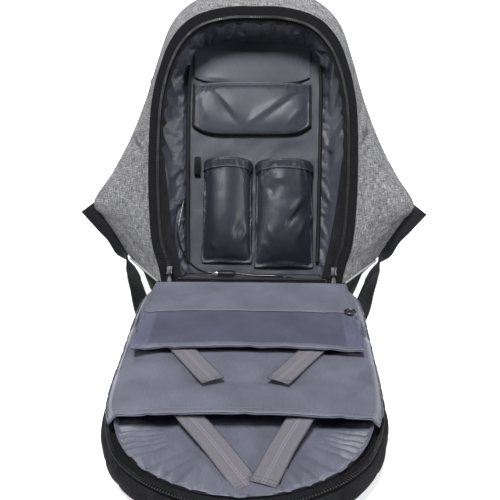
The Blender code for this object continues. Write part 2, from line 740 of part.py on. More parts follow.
def make_panel(black, mesh_black, slate):
    """The back panel: padded back, zip tape, lining tray, laptop and tablet pockets."""
    rings = []
    for rise, inset in PAD_ROWS:
        rings.append(panel_ring(PAD_BOTTOM + rise * PAD_THICKNESS, inset))
    loft("back_pad", rings, mesh_black)
    tape = [panel_ring(PAD_TOP + CLEARANCE + TAPE_THICKNESS, inset)
            for inset in (0.003, 0.003 + TAPE_WIDTH)]
    thicken("panel_zip_tape", tape[::-1], TAPE_THICKNESS, black, closed_rows=True)

    wall = np.array(TRAY_WALL_ROWS)
    grid = []
    room = LAPTOP_SHEET - TRAY_FLOOR - LINING_WALL - 2 * CLEARANCE
    stops = [0.0, 0.004] + list(np.linspace(0.05, 0.955, 14))
    for share in stops:
        along = share * PANEL_LENGTH
        half = panel_half(along, PANEL_INSET)
        high = room * np.interp(share, wall[:, 0], wall[:, 1])
        lift = high if share == 0 else 0.0
        row = []
        for q, up, out in TRAY_ROWS:
            z = TRAY_FLOOR + LINING_WALL + max(high * up, lift)
            y = PANEL_START - PANEL_TRAY_START - along
            row.append((q * (half + out * PANEL_INSET), y, z))
        row = row + [(-x, y, z) for x, y, z in row[::-1]]
        grid.append(row)
    thicken("panel_lining", grid[::-1], LINING_WALL, slate)

    def laptop_half(along):
        return panel_half(along, 0.006)

    def tablet_half(along):
        share = along / TABLET_MOUTH
        return TABLET_HALF_WIDTH * np.interp(share, (0, 0.3, 1, 1.2), (0.975, 0.99, 1, 1))

    for name, mouth, half_at, height, crown in (
        ("laptop_pocket", LAPTOP_MOUTH, laptop_half, LAPTOP_SHEET + LINING_WALL, LAPTOP_CROWN),
        ("tablet_pocket", TABLET_MOUTH, tablet_half, TABLET_SHEET + LINING_WALL, TABLET_CROWN),
    ):
        panel_sheet(name, PANEL_TRAY_START, mouth, mouth, half_at, height, crown, slate)
        over = height + LINING_WALL + CLEARANCE
        panel_sheet(name + "_hem", mouth - HEM_WIDTH, mouth, mouth, half_at, over, crown, slate)
    for side, label in ((-1, "left"), (1, "right")):
        grid = []
        for up in (0, 0.5, 1):
            row = []
            for along in np.linspace(PANEL_TRAY_START + 0.002, TABLET_MOUTH * 0.985, 8):
                x = tablet_half(along) - 0.0015 * up
                low = sheet_height(LAPTOP_SHEET + LINING_WALL, LAPTOP_CROWN, LAPTOP_MOUTH,
                                   along, x / laptop_half(along)) + CLEARANCE
                high = TABLET_SHEET - CLEARANCE
                row.append((side * x, PANEL_START - along, low + (high - low) * up))
            grid.append(row)
        if side > 0:
            grid = grid[::-1]
        thicken("tablet_pocket_side_" + label, grid, LINING_WALL, slate)


def make_bands(grey):
    """The four elastic bands that cross the laptop and tablet compartments in two V shapes."""
    for side, label in ((-1, "left"), (1, "right")):
        start = np.array((side * LAPTOP_BAND_OUT, PANEL_START - LAPTOP_MOUTH + BAND_TUCK,
                          LAPTOP_SHEET - BAND_THICKNESS))
        end_z = TRAY_FLOOR + LINING_WALL + CLEARANCE + BAND_THICKNESS * 0.6
        if side > 0:
            end_z += BAND_THICKNESS + 2 * CLEARANCE
        end = np.array((BAND_MIDDLE + side * BAND_WIDTH / 4, PANEL_START - BAND_MEETING, end_z))
        band("laptop_band_" + label, start, end, grey)
        start = np.array((side * TABLET_BAND_OUT, PANEL_START - TABLET_MOUTH + BAND_TUCK,
                          TABLET_SHEET - BAND_THICKNESS))
        low = LAPTOP_SHEET + 2 * LINING_WALL + LAPTOP_CROWN + CLEARANCE + BAND_THICKNESS
        end_y = PANEL_START - TABLET_MOUTH - TABLET_BAND_REACH
        end = np.array((side * TABLET_BAND_END_OUT, end_y, low))
        band("tablet_band_" + label, start, end, grey)


def band(name, start, end, finish):
    """One straight elastic band that sags a little between its sewn ends."""
    centres = []
    sides = []
    across = Vector((end - start)).cross(Vector((0, 0, 1))).normalized()
    for t in np.linspace(0, 1, 9):
        point = start + (end - start) * t
        point[2] -= BAND_SAG * math.sin(math.pi * t)
        centres.append(point)
        sides.append(across)
    ribbon(name, centres, sides, BAND_WIDTH, BAND_THICKNESS, finish)


def make_straps(black, plastic):
    """The padded shoulder straps under the panel, their adjusters and lower webbing."""
    tip = np.array((SIDE_ROWS[3][3] * WING_REACH, SIDE_ROWS[3][2] * SHELL_LENGTH))
    foot = np.array((SIDE_ROWS[0][3] * WING_REACH, SIDE_ROWS[0][2] * SHELL_LENGTH))
    fold = (tip - foot) / np.linalg.norm(tip - foot)
    out = np.array((fold[1], -fold[0]))
    for side, label in ((-1, "left"), (1, "right")):
        rows = spline(STRAP_ROWS, 3)
        centres = []
        sides = []
        path = np.column_stack((
            side * rows[:, 1] * PANEL_HALF_WIDTH,
            PANEL_START - rows[:, 0] * PANEL_LENGTH,
            np.full(len(rows), STRAP_THICKNESS / 2),
        ))
        for point, step in zip(path, np.gradient(path, axis=0)):
            centres.append(point)
            sides.append(Vector(step).cross(Vector((0, 0, 1))).normalized())
        ribbon("shoulder_strap_" + label, centres, sides, STRAP_WIDTH, STRAP_THICKNESS, black,
               STRAP_SOFTNESS)

        end = np.array(centres[-1])
        step = np.array(centres[-1]) - np.array(centres[-2])
        step /= np.linalg.norm(step)
        across = np.array(Vector(step).cross(Vector((0, 0, 1))).normalized())
        centre = end + step * (CLEARANCE + ADJUSTER_LENGTH / 2)
        body = [centre + step * ADJUSTER_LENGTH * t for t in (-0.5, -0.3, 0, 0.3, 0.5)]
        ribbon("strap_adjuster_" + label, body, [across] * 5, ADJUSTER_WIDTH,
               ADJUSTER_THICKNESS, plastic, ADJUSTER_ROUNDING)

        edge = PANEL_HALF_WIDTH
        leave = centre + step * (ADJUSTER_LENGTH / 2 + CLEARANCE)
        under = np.array((side * edge * 0.86, PANEL_START - 0.020, PAD_BOTTOM * 0.5))
        corner = np.array((side * edge * 0.99, HINGE_Y + 0.014, PAD_BOTTOM))
        lift = np.array((side * edge * 1.09, HINGE_Y + 0.050, HINGE_Z * 0.88))
        turn = foot + out * 0.006 - fold * 0.010
        twist = np.array(shell_point(side * turn[0], turn[1], SIDE_DEPTH + TWIST_DEPTH))
        stations = [
            (leave, across * side),
            (leave + step * ADJUSTER_LENGTH * 0.3, across * side),
            (leave + step * ADJUSTER_LENGTH * 0.6, across * side),
            (under, (side, 0, 0)),
            (corner, (side * 0.9, -0.2, 0.2)),
            (lift, (side * 0.8, -0.5, 0.2)),
            ((lift + twist) / 2, (side * 0.55, -0.8, 0.2)),
            (twist, (side * 0.15, -0.95, 0.3)),
        ]
        wide = np.array(shell_point(-side * out[0], -out[1], 0.25) - shell_point(0, 0, 0))
        for share, shift, rise in WEBBING_ROWS:
            u, v = foot + (tip - foot) * share + out * WEBBING_WIDTH * shift
            depth = SIDE_DEPTH + WEBBING_WIDTH * rise
            stations.append((shell_point(side * u, v, depth), wide))
        stations = spline([np.concatenate(pair) for pair in stations], 3)
        ribbon("anchor_strap_" + label, stations[:, :3], stations[:, 3:], WEBBING_WIDTH,
               WEBBING_THICKNESS, black)


def make_lead(cable, plastic):
    """The thin lead with its inline coupler, from under the piping to the hinge."""
    upper = [shell_point(*p) for p in spline(LEAD_UPPER, 3)]
    lower = [shell_point(*p) for p in spline(LEAD_LOWER, 3)]
    tube("usb_lead_upper", upper, CABLE_DIAMETER / 2, cable)
    tube("usb_lead_lower", lower, CABLE_DIAMETER / 2, cable)
    start, end = upper[-1], lower[0]
    run = (end - start).normalized()
    middle = (start + end) / 2
    half = (end - start).length / 2 - CLEARANCE
    rings = []
    across = run.cross(Vector((0, 0, 1))).normalized()
    lift = across.cross(run)
    for share, grow in COUPLER_ROWS:
        centre = middle + run * half * share
        a = across * COUPLER_WIDTH / 2 * grow
        b = lift * COUPLER_THICKNESS / 2 * grow
        rings.append([centre + a + b, centre - a + b, centre - a - b, centre + a - b])
    loft("usb_coupler", rings, plastic, False)


def main():
    """Clear the scene and make every piece."""
    for obj in list(bpy.data.objects):
        bpy.data.objects.remove(obj, do_unlink=True)
    heather = material("heather cloth", (0.30, 0.30, 0.32), 0.9)
    black = material("black cloth", (0.015, 0.015, 0.018), 0.8)
    tape = material("black zip tape", (0.012, 0.012, 0.014), 0.7)
    mesh_black = material("black padding", (0.02, 0.02, 0.022), 0.95)
    slate = material("slate lining", (0.10, 0.105, 0.14), 0.45)
    grey = material("grey elastic", (0.22, 0.21, 0.24), 0.8)
    pale = material("pale piping", (0.55, 0.55, 0.57), 0.6)
    plastic = material("black plastic", (0.01, 0.01, 0.01), 0.35)
    metal = material("dark metal", (0.12, 0.12, 0.13), 0.4, 0.9)
    make_shell(heather, black, pale)
    make_zip(tape, metal)
    make_lining(slate, black)
    make_shell_pockets(slate, black)
    make_hinge(black)
    make_panel(black, mesh_black, slate)
    make_bands(grey)
    make_straps(black, plastic)
    make_lead(plastic, plastic)


main()
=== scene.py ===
"""Looks of the opened anti theft backpack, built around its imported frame.

Metres, +Z up, +X to the right, +Y away from whoever looks into the bag.
"""
import math

import bmesh
import bpy
import numpy as np
from mathutils import Matrix, Vector


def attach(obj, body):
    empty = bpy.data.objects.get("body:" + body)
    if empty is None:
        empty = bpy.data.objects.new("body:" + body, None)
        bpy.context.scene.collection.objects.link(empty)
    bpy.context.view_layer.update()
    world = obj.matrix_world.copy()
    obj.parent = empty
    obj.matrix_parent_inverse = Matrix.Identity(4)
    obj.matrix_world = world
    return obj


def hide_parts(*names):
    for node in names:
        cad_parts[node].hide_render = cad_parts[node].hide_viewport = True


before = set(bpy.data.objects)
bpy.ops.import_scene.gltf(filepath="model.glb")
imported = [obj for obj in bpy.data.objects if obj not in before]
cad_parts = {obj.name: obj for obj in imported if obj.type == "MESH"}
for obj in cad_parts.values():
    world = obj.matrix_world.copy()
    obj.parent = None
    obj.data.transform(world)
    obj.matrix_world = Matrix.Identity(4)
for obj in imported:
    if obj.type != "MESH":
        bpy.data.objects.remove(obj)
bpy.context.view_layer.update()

# View, floor and lights.
# The camera stands in front of the open bag and looks down on it by 21 degrees. The floor
# is a plain pale sheet that throws no light back, so the inside of the bag stays dark.
CAMERA_PLACE = (0.0225, -1.0038, 0.4730)
CAMERA_PITCH = math.radians(21.0)
CAMERA_YAW = math.radians(1.45)
FOCAL_PIXELS = 781.0
FRAME_PIXELS = 500.0
SENSOR_WIDTH = 36.0
FLOOR_SIZE = 60.0
FLOOR_DROP = 0.0004
FLOOR_GLOW = 0.60
FLOOR_WHITE = (0.92, 0.92, 0.93)
WORLD_STRENGTH = 0.10
# Columns: name, direction that the light travels in, strength, spread in degrees,
# whether cloth mirrors it.
LAMPS = (
    ("key_lamp", (0.14, 0.36, -1.00), 4.10, 20.0, True),
    ("fill_lamp", (-0.95, 0.30, -0.42), 1.70, 14.0, True),
    ("low_lamp", (0.95, 0.35, -0.40), 0.80, 14.0, True),
    ("back_lamp", (0.15, -0.95, -0.35), 2.40, 20.0, False),
)

forward = Vector((
    -math.sin(CAMERA_YAW) * math.cos(CAMERA_PITCH),
    math.cos(CAMERA_YAW) * math.cos(CAMERA_PITCH),
    -math.sin(CAMERA_PITCH),
))
rightward = Vector((math.cos(CAMERA_YAW), math.sin(CAMERA_YAW), 0.0))
turned = Matrix((rightward, rightward.cross(forward), -forward)).transposed().to_4x4()
turned.translation = CAMERA_PLACE
camera_data = bpy.data.cameras.new("camera")
camera_data.sensor_width = SENSOR_WIDTH
camera_data.lens = SENSOR_WIDTH * FOCAL_PIXELS / FRAME_PIXELS
camera = bpy.data.objects.new("camera", camera_data)
camera.matrix_world = turned
bpy.context.collection.objects.link(camera)
bpy.context.scene.camera = camera
bpy.context.scene.view_settings.view_transform = "Standard"

half_floor = FLOOR_SIZE / 2
floor_mesh = bpy.data.meshes.new("floor")
floor_mesh.from_pydata(
    [(x * half_floor, y * half_floor, -FLOOR_DROP) for x, y in ((-1, -1), (1, -1), (1, 1), (-1, 1))],
    [],
    [(0, 1, 2, 3)],
)
floor_finish = bpy.data.materials.new("pale floor")
floor_finish.use_nodes = True
floor_shader = floor_finish.node_tree.nodes["Principled BSDF"]
floor_shader.inputs["Base Color"].default_value = (*FLOOR_WHITE, 1.0)
floor_shader.inputs["Roughness"].default_value = 0.8
floor_shader.inputs["Emission Color"].default_value = (1.0, 1.0, 1.0, 1.0)
floor_shader.inputs["Emission Strength"].default_value = FLOOR_GLOW
floor_mesh.materials.append(floor_finish)
floor = bpy.data.objects.new("floor", floor_mesh)
bpy.context.collection.objects.link(floor)
floor.visible_diffuse = False

for lamp_name, travel, strength, spread, shines in LAMPS:
    lamp_data = bpy.data.lights.new(lamp_name, "SUN")
    lamp_data.angle = math.radians(spread)
    lamp_data.energy = strength
    lamp = bpy.data.objects.new(lamp_name, lamp_data)
    lamp.visible_glossy = shines
    lamp.rotation_euler = Vector(travel).to_track_quat("-Z", "Y").to_euler()
    bpy.context.collection.objects.link(lamp)
world = bpy.data.worlds.new("studio")
world.use_nodes = True
world.node_tree.nodes["Background"].inputs["Color"].default_value = (1.0, 1.0, 1.0, 1.0)
world.node_tree.nodes["Background"].inputs["Strength"].default_value = WORLD_STRENGTH
bpy.context.scene.world = world

# Lead and its inline coupler.
# A thin round cable with a glossy black jacket. It comes out from under the left piping,
# drops to the floor of the shell, passes a coupler and goes into the hinge seam.
LEAN = math.radians(33.0)
HINGE_Y = -0.06278
HINGE_Z = 0.03595
CABLE_DIAMETER = 0.0032
COUPLER_WIDTH = 0.011
COUPLER_THICKNESS = 0.007
CABLE_BLACK = (0.012, 0.012, 0.014)
NICKEL = (0.62, 0.61, 0.60)
# Columns: side, height and depth behind the rim plane, in metres, chosen along the route.
LEAD_UPPER = (
    (-0.0990, 0.1580, 0.0510),
    (-0.1000, 0.1480, 0.0480),
    (-0.1025, 0.1300, 0.0440),
    (-0.1045, 0.1120, 0.0410),
    (-0.1040, 0.0960, 0.0400),
    (-0.0985, 0.0800, 0.0420),
    (-0.0900, 0.0660, 0.0450),
    (-0.0790, 0.0560, 0.0480),
    (-0.0680, 0.0510, 0.0495),
    (-0.0560, 0.0497, 0.0500),
)
LEAD_LOWER = (
    (-0.0220, 0.0490, 0.0500),
    (-0.0120, 0.0476, 0.0500),
    (0.0020, 0.0463, 0.0500),
    (0.0180, 0.0461, 0.0500),
    (0.0330, 0.0457, 0.0490),
    (0.0460, 0.0436, 0.0440),
    (0.0560, 0.0398, 0.0355),
    (0.0615, 0.0345, 0.0235),
    (0.0635, 0.0300, 0.0120),
    (0.0640, 0.0268, 0.0050),
)
# Columns: place as a share of the coupler's half length, size as a share of its section.
COUPLER_ROWS = (
    (-0.52, 0.50),
    (-0.50, 0.86),
    (-0.44, 0.98),
    (0.72, 1.00),
    (0.84, 0.90),
    (0.90, 0.55),
    (1.00, 0.42),
)
SOCKET_ROWS = (
    (-1.00, 0.60),
    (-0.98, 0.66),
    (-0.52, 0.66),
)


def stacked(*parts):
    """Arrays spread to one shape and stacked along a last axis, such as x, y and z."""
    return np.stack(np.broadcast_arrays(*parts), axis=-1)


def unit(vectors):
    """Vectors drawn to length 1: each is divided by its own length."""
    return vectors / np.linalg.norm(vectors, axis=-1, keepdims=True)


def shell_point(side, height, depth):
    """Points of the leaning shell's own frame, turned about the hinge into the row frame.

    side runs to the right, height up the leaning rim and depth square to the rim plane,
    away from the viewer: y = height * sin(lean) + depth * cos(lean) from the hinge, and
    z = height * cos(lean) - depth * sin(lean).
    """
    y = HINGE_Y + height * math.sin(LEAN) + depth * math.cos(LEAN)
    z = HINGE_Z + height * math.cos(LEAN) - depth * math.sin(LEAN)
    return stacked(side, y, z)


def spline(rows, steps):
    """Catmull-Rom curve through the rows, with steps points to each stretch."""
    rows = np.asarray(rows, float)
    ends = np.vstack((2 * rows[0] - rows[1], rows, 2 * rows[-1] - rows[-2]))
    t = (np.arange(steps) / steps)[None, :, None]
    a, b, c, d = (ends[k:k + len(rows) - 1][:, None, :] for k in range(4))
    stretch = 0.5 * (2 * b + (c - a) * t + (2 * a - 5 * b + 4 * c - d) * t ** 2
                     + (3 * b - a - 3 * c + d) * t ** 3)
    return np.vstack((stretch.reshape(-1, rows.shape[1]), rows[-1]))


class Finish:
    """A cloth or plastic surface: a Principled shader and the nodes that feed it."""

    def __init__(self, name, colour, roughness, metallic=0.0, sheen=0.0, coat=0.0, gloss=0.5):
        self.material = bpy.data.materials.new(name)
        self.material.use_nodes = True
        self.nodes = self.material.node_tree.nodes
        self.links = self.material.node_tree.links
        self.shader = self.nodes["Principled BSDF"]
        self.colour = colour
        self.shader.inputs["Base Color"].default_value = (*colour, 1.0)
        self.shader.inputs["Roughness"].default_value = roughness
        self.shader.inputs["Metallic"].default_value = metallic
        self.shader.inputs["Sheen Weight"].default_value = sheen
        self.shader.inputs["Coat Weight"].default_value = coat
        self.shader.inputs["Specular IOR Level"].default_value = gloss
        self.coordinates = self.nodes.new("ShaderNodeTexCoord")

    def place(self, scale=(1.0, 1.0, 1.0), source="UV"):
        """Coordinates in metres from the cloth's own UV or its object, scaled per axis."""
        mapping = self.nodes.new("ShaderNodeMapping")
        mapping.inputs["Scale"].default_value = scale
        self.links.new(self.coordinates.outputs[source], mapping.inputs["Vector"])
        return mapping.outputs["Vector"]

    def noise(self, vector, scale=1.0, detail=2.0, roughness=0.55):
        """Soft random values from 0 to 1."""
        node = self.nodes.new("ShaderNodeTexNoise")
        node.inputs["Scale"].default_value = scale
        node.inputs["Detail"].default_value = detail
        node.inputs["Roughness"].default_value = roughness
        self.links.new(vector, node.inputs["Vector"])
        return node.outputs["Fac"]

    def wave(self, vector, direction, scale, distortion=0.0):
        """Even ribs across one direction."""
        node = self.nodes.new("ShaderNodeTexWave")
        node.bands_direction = direction
        node.inputs["Scale"].default_value = scale
        node.inputs["Distortion"].default_value = distortion
        self.links.new(vector, node.inputs["Vector"])
        return node.outputs["Fac"]

    def math(self, operation, first, second=0.0, third=0.0):
        """One sum of up to three values, each of which may be a number."""
        node = self.nodes.new("ShaderNodeMath")
        node.operation = operation
        for socket, value in zip(node.inputs, (first, second, third)):
            if isinstance(value, (int, float)):
                socket.default_value = value
            else:
                self.links.new(value, socket)
        return node.outputs["Value"]

    def ramp(self, value, stops):
        """Colours along a value, each stop its place and its colour."""
        node = self.nodes.new("ShaderNodeValToRGB")
        while len(node.color_ramp.elements) < len(stops):
            node.color_ramp.elements.new(0.5)
        for element, (place, colour) in zip(node.color_ramp.elements, stops):
            element.position = place
            element.color = (*colour, 1.0)
        self.links.new(value, node.inputs["Fac"])
        return node.outputs["Color"]

    def mix(self, factor, first, second, kind="MIX"):
        """Blend of two colours, by a value or a number.

        Inputs 0, 6 and 7 and output 2 are the ones that a blend of colours uses.
        """
        node = self.nodes.new("ShaderNodeMix")
        node.data_type = "RGBA"
        node.blend_type = kind
        for socket, value in zip((node.inputs[0], node.inputs[6], node.inputs[7]),
                                 (factor, first, second)):
            if isinstance(value, (int, float)):
                socket.default_value = value
            elif isinstance(value, tuple):
                socket.default_value = (*value, 1.0)
            else:
                self.links.new(value, socket)
        return node.outputs[2]

    def paint(self, colour):
        """Sends a colour to the shader."""
        self.links.new(colour, self.shader.inputs["Base Color"])

    def bump(self, height, distance, strength=1.0):
        """Raises the surface by a value, over a distance in metres."""
        node = self.nodes.new("ShaderNodeBump")
        node.inputs["Strength"].default_value = strength
        node.inputs["Distance"].default_value = distance
        self.links.new(height, node.inputs["Height"])
        self.links.new(node.outputs["Normal"], self.shader.inputs["Normal"])

    def rough(self, value):
        """Sends a roughness pattern to the shader."""
        self.links.new(value, self.shader.inputs["Roughness"])


def shade(value, factor):
    """A colour made lighter or darker by a factor."""
    return tuple(min(1.0, part * factor) for part in value)


def add_piece(name, data, finish):
    """Puts a mesh or curve into the scene as one piece that rides on the bag."""
    data.materials.append(finish.material)
    obj = bpy.data.objects.new(name, data)
    bpy.context.collection.objects.link(obj)
    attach(obj, "root")
    return obj


def sew(mesh, gap, outward):
    """Merges points that lie within the gap, and turns a closed body's faces outwards."""
    sewn = bmesh.new()
    sewn.from_mesh(mesh)
    if gap:
        bmesh.ops.remove_doubles(sewn, verts=sewn.verts, dist=gap)
    if outward:
        bmesh.ops.recalc_face_normals(sewn, faces=sewn.faces)
    sewn.to_mesh(mesh)
    sewn.free()


def grid_faces(rows, cols, first=0):
    """Four-cornered faces of a grid of points, numbered row by row from the first."""
    cells = np.arange(rows * cols).reshape(rows, cols) + first
    corners = (cells[:-1, :-1], cells[:-1, 1:], cells[1:, 1:], cells[1:, :-1])
    return np.stack(corners, axis=-1).reshape(-1, 4)


def cord_curve(name, points, radius, finish):
    """A round cord along points, as a bevelled open curve with closed ends."""
    data = bpy.data.curves.new(name, "CURVE")
    data.dimensions = "3D"
    line = data.splines.new("POLY")
    line.points.add(len(points) - 1)
    line.points.foreach_set("co", np.column_stack((points, np.ones(len(points)))).ravel())
    data.bevel_depth = radius
    data.bevel_resolution = 3
    data.use_fill_caps = True
    return add_piece(name, data, finish)


def walked(points):
    """Distance walked along a line of points, from 0 at its first."""
    steps = np.linalg.norm(np.diff(points, axis=0), axis=1)
    return np.concatenate(([0.0], np.cumsum(steps)))


def run_length(points):
    """Length of a line of points."""
    return float(walked(points)[-1])


def sleeve(name, rings, finish):
    """A closed body through rings of points: rows of rings, columns round each ring."""
    rings = np.asarray(rings, float)
    count, size = rings.shape[:2]
    cells = np.arange(count * size).reshape(count, size)
    after = np.roll(cells, -1, axis=1)
    faces = np.stack((cells[:-1], after[:-1], after[1:], cells[1:]), axis=-1).reshape(-1, 4)
    faces = faces.tolist()
    faces.append(cells[0][::-1].tolist())
    faces.append(cells[-1].tolist())
    mesh = bpy.data.meshes.new(name)
    mesh.from_pydata(rings.reshape(-1, 3).tolist(), [], faces)
    sew(mesh, gap=0.00001, outward=True)
    mesh.shade_smooth()
    mesh.set_sharp_from_angle(angle=math.radians(45))
    return add_piece(name, mesh, finish)


def rounded(width, thickness, count=24, power=4.0):
    """Superellipse ring: x and y parts of |x|^power + |y|^power = 1, at the given size."""
    turn = np.linspace(0, 2 * math.pi, count, endpoint=False)
    c, s = np.cos(turn), np.sin(turn)
    x = np.sign(c) * np.abs(c) ** (2 / power) * width / 2
    y = np.sign(s) * np.abs(s) ** (2 / power) * thickness / 2
    return x, y


jacket = Finish("cable jacket", CABLE_BLACK, roughness=0.22, coat=0.3)
scuffs = jacket.noise(jacket.place(source="Object"), scale=240.0, detail=3.0)
jacket.rough(jacket.math("MULTIPLY_ADD", scuffs, 0.20, 0.08))
moulding = Finish("coupler plastic", CABLE_BLACK, roughness=0.38)
grain = moulding.noise(moulding.place(source="Object"), scale=2600.0)
moulding.bump(grain, distance=0.00012, strength=0.5)
plated = Finish("plated metal", NICKEL, roughness=0.28, metallic=1.0)
brushing = plated.noise(plated.place((300.0, 4000.0, 4000.0), "Object"))
plated.bump(brushing, distance=0.00005, strength=0.4)

upward = np.array((0.0, 0.0, 1.0))
upper_run = spline([shell_point(*row) for row in LEAD_UPPER], steps=6)
lower_run = spline([shell_point(*row) for row in LEAD_LOWER], steps=6)
coupler_start, coupler_end = upper_run[-1], lower_run[0]
coupler_way = unit(coupler_end - coupler_start)
coupler_middle = (coupler_start + coupler_end) / 2
coupler_half = np.linalg.norm(coupler_end - coupler_start) / 2
coupler_side = unit(np.cross(coupler_way, upward))
coupler_up = np.cross(coupler_side, coupler_way)


def coupler_rings(rows):
    """Rounded rings along the coupler, one for each row."""
    rings = []
    for share, grow in rows:
        across, up = rounded(COUPLER_WIDTH * grow, COUPLER_THICKNESS * grow)
        middle = coupler_middle + coupler_way * coupler_half * share
        rings.append(middle + across[:, None] * coupler_side + up[:, None] * coupler_up)
    return rings


coupler = sleeve("lead_coupler", coupler_rings(COUPLER_ROWS), moulding)
socket = sleeve("lead_coupler_shell", coupler_rings(SOCKET_ROWS), plated)
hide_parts("usb_coupler")
upper_lead = cord_curve("lead_upper", upper_run, CABLE_DIAMETER / 2, jacket)
lower_lead = cord_curve("lead_lower", lower_run, CABLE_DIAMETER / 2, jacket)
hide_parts("usb_lead_upper")
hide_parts("usb_lead_lower")

# Heather shell.
# The outer cloth is a woven polyester with light and dark yarns. It is cut as one side wall
# that runs round the rim and one large front face, and both are sewn along the outer fold.
RIM_LENGTH = 0.426
RIM_HALF_WIDTH = 0.145
SHELL_LENGTH = 0.490
WING_REACH = 0.231
SIDE_DEPTH = 0.062
FRONT_BULGE = 0.037
SHELL_WALL = 0.003
WAVES = 14
HEATHER_MID = (0.252, 0.252, 0.262)
HEATHER_DARK = (0.052, 0.052, 0.057)
HEATHER_LIGHT = (0.576, 0.576, 0.585)
# Columns: rim height and half width, fold height, half width and depth, bulge of the face,
# as shares of RIM_LENGTH, RIM_HALF_WIDTH, SHELL_LENGTH, WING_REACH, SIDE_DEPTH, FRONT_BULGE.
SIDE_ROWS = (
    (0.063, 0.830, 0.153, 0.762, 1.00, 0.62),
    (0.118, 0.865, 0.210, 0.843, 1.00, 0.80),
    (0.190, 0.932, 0.264, 0.925, 1.00, 0.92),
    (0.305, 0.972, 0.316, 1.000, 1.00, 1.00),
    (0.434, 0.994, 0.408, 0.894, 1.00, 1.00),
    (0.563, 1.000, 0.514, 0.792, 1.00, 0.96),
    (0.681, 0.984, 0.643, 0.701, 0.99, 0.88),
    (0.798, 0.916, 0.771, 0.632, 0.96, 0.76),
    (0.897, 0.786, 0.882, 0.554, 0.90, 0.58),
    (0.965, 0.580, 0.951, 0.424, 0.84, 0.38),
    (0.996, 0.290, 0.992, 0.216, 0.79, 0.16),
    (1.000, 0.000, 1.000, 0.000, 0.77, 0.00),
)
ROW_SCALE = (RIM_LENGTH, RIM_HALF_WIDTH, SHELL_LENGTH, WING_REACH, SIDE_DEPTH, FRONT_BULGE)
# Creases of the side wall. Columns: side, rim height and share across at one end, the same
# at the other end, half width and depth in metres. A depth below 0 stands proud. The whole
# way across counts as CREASE_SPAN, and a crease fades out over MIDDLE_BLEND at the middle.
CREASE_SPAN = 0.1
MIDDLE_BLEND = 0.02
SIDE_CREASES = (
    (-1, 0.205, 0.10, 0.258, 0.98, 0.0045, 0.0070),
    (-1, 0.222, 0.25, 0.272, 1.00, 0.0060, -0.0040),
    (-1, 0.300, 0.45, 0.318, 1.00, 0.0045, 0.0045),
    (-1, 0.315, 0.30, 0.345, 0.95, 0.0060, -0.0035),
    (-1, 0.120, 0.05, 0.175, 0.35, 0.0070, 0.0030),
    (1, 0.215, 0.02, 0.262, 0.70, 0.0045, 0.0060),
    (1, 0.238, 0.05, 0.276, 0.60, 0.0045, -0.0040),
    (1, 0.190, 0.05, 0.236, 0.50, 0.0040, 0.0045),
    (1, 0.262, 0.02, 0.300, 0.75, 0.0050, 0.0050),
    (1, 0.120, 0.12, 0.205, 0.22, 0.0050, 0.0040),
    (1, 0.110, 0.30, 0.190, 0.34, 0.0055, -0.0030),
    (1, 0.330, 0.20, 0.352, 0.95, 0.0055, 0.0045),
)


def both_sides(rows, mirrored):
    """A table of the right side, from bottom to top, run on down the left side.

    mirrored says which columns change their sign there.
    """
    right = np.array(rows, float)
    left = right[::-1][1:].copy()
    left[:, mirrored] *= -1
    return np.vstack((right, left))


def stretch_gap(a, b, start_a, start_b, end_a, end_b):
    """Distance of points (a, b) from a stretch, and how far along it they lie."""
    run_a, run_b = end_a - start_a, end_b - start_b
    along = ((a - start_a) * run_a + (b - start_b) * run_b) / (run_a ** 2 + run_b ** 2)
    held = np.clip(along, 0, 1)
    gap = np.hypot(a - start_a - held * run_a, b - start_b - held * run_b)
    return gap, along


def creases(a, b, table):
    """Sum of pinched folds. Each is depth * exp(-gap / width), rounded at its crest, and
    fades to nothing past its two ends.

    Table columns: a and b at one end, a and b at the other, half width, depth.
    """
    total = np.zeros(np.broadcast(a, b).shape)
    for start_a, start_b, end_a, end_b, width, depth in table:
        gap, along = stretch_gap(a, b, start_a, start_b, end_a, end_b)
        crest = np.sqrt(gap ** 2 + (0.35 * width) ** 2) - 0.35 * width
        fade = 0.55 + 0.45 * np.cos(math.pi * np.clip(2 * along - 1, -1, 1))
        total = total + depth * fade * np.exp(-crest / width)
    return total


def rumple(a, b, size, seed, tilt=0.0, spread=1.4):
    """Small random folds between -1 and 1: a sum of sine waves whose crests are sharpened.

    size is their mean wavelength, tilt the direction of the crests and spread how far each
    wave turns away from it.
    """
    random = np.random.default_rng(seed)
    total = np.zeros(np.broadcast(a, b).shape)
    for _ in range(WAVES):
        turn = tilt + random.uniform(-spread, spread)
        pitch = size * random.uniform(0.6, 1.8)
        start = random.uniform(0, 2 * math.pi)
        way = (a * math.sin(turn) + b * math.cos(turn)) / pitch
        bend = 0.6 * np.sin(2.1 * (a * math.cos(turn) - b * math.sin(turn)) / pitch + start)
        total = total + 1 - 2 * np.abs(np.sin(math.pi * way + start + bend)) ** 0.8
    return total / WAVES * 1.6


def cloth_uv(grid):
    """Distances in metres over a grid: across each row from its middle, and up each column."""
    across = np.zeros(grid.shape[:2])
    across[:, 1:] = np.cumsum(np.linalg.norm(np.diff(grid, axis=1), axis=2), axis=1)
    across -= across[:, [grid.shape[1] // 2]]
    up = np.zeros(grid.shape[:2])
    up[1:] = np.cumsum(np.linalg.norm(np.diff(grid, axis=0), axis=2), axis=0)
    return np.stack((across, up), axis=-1)


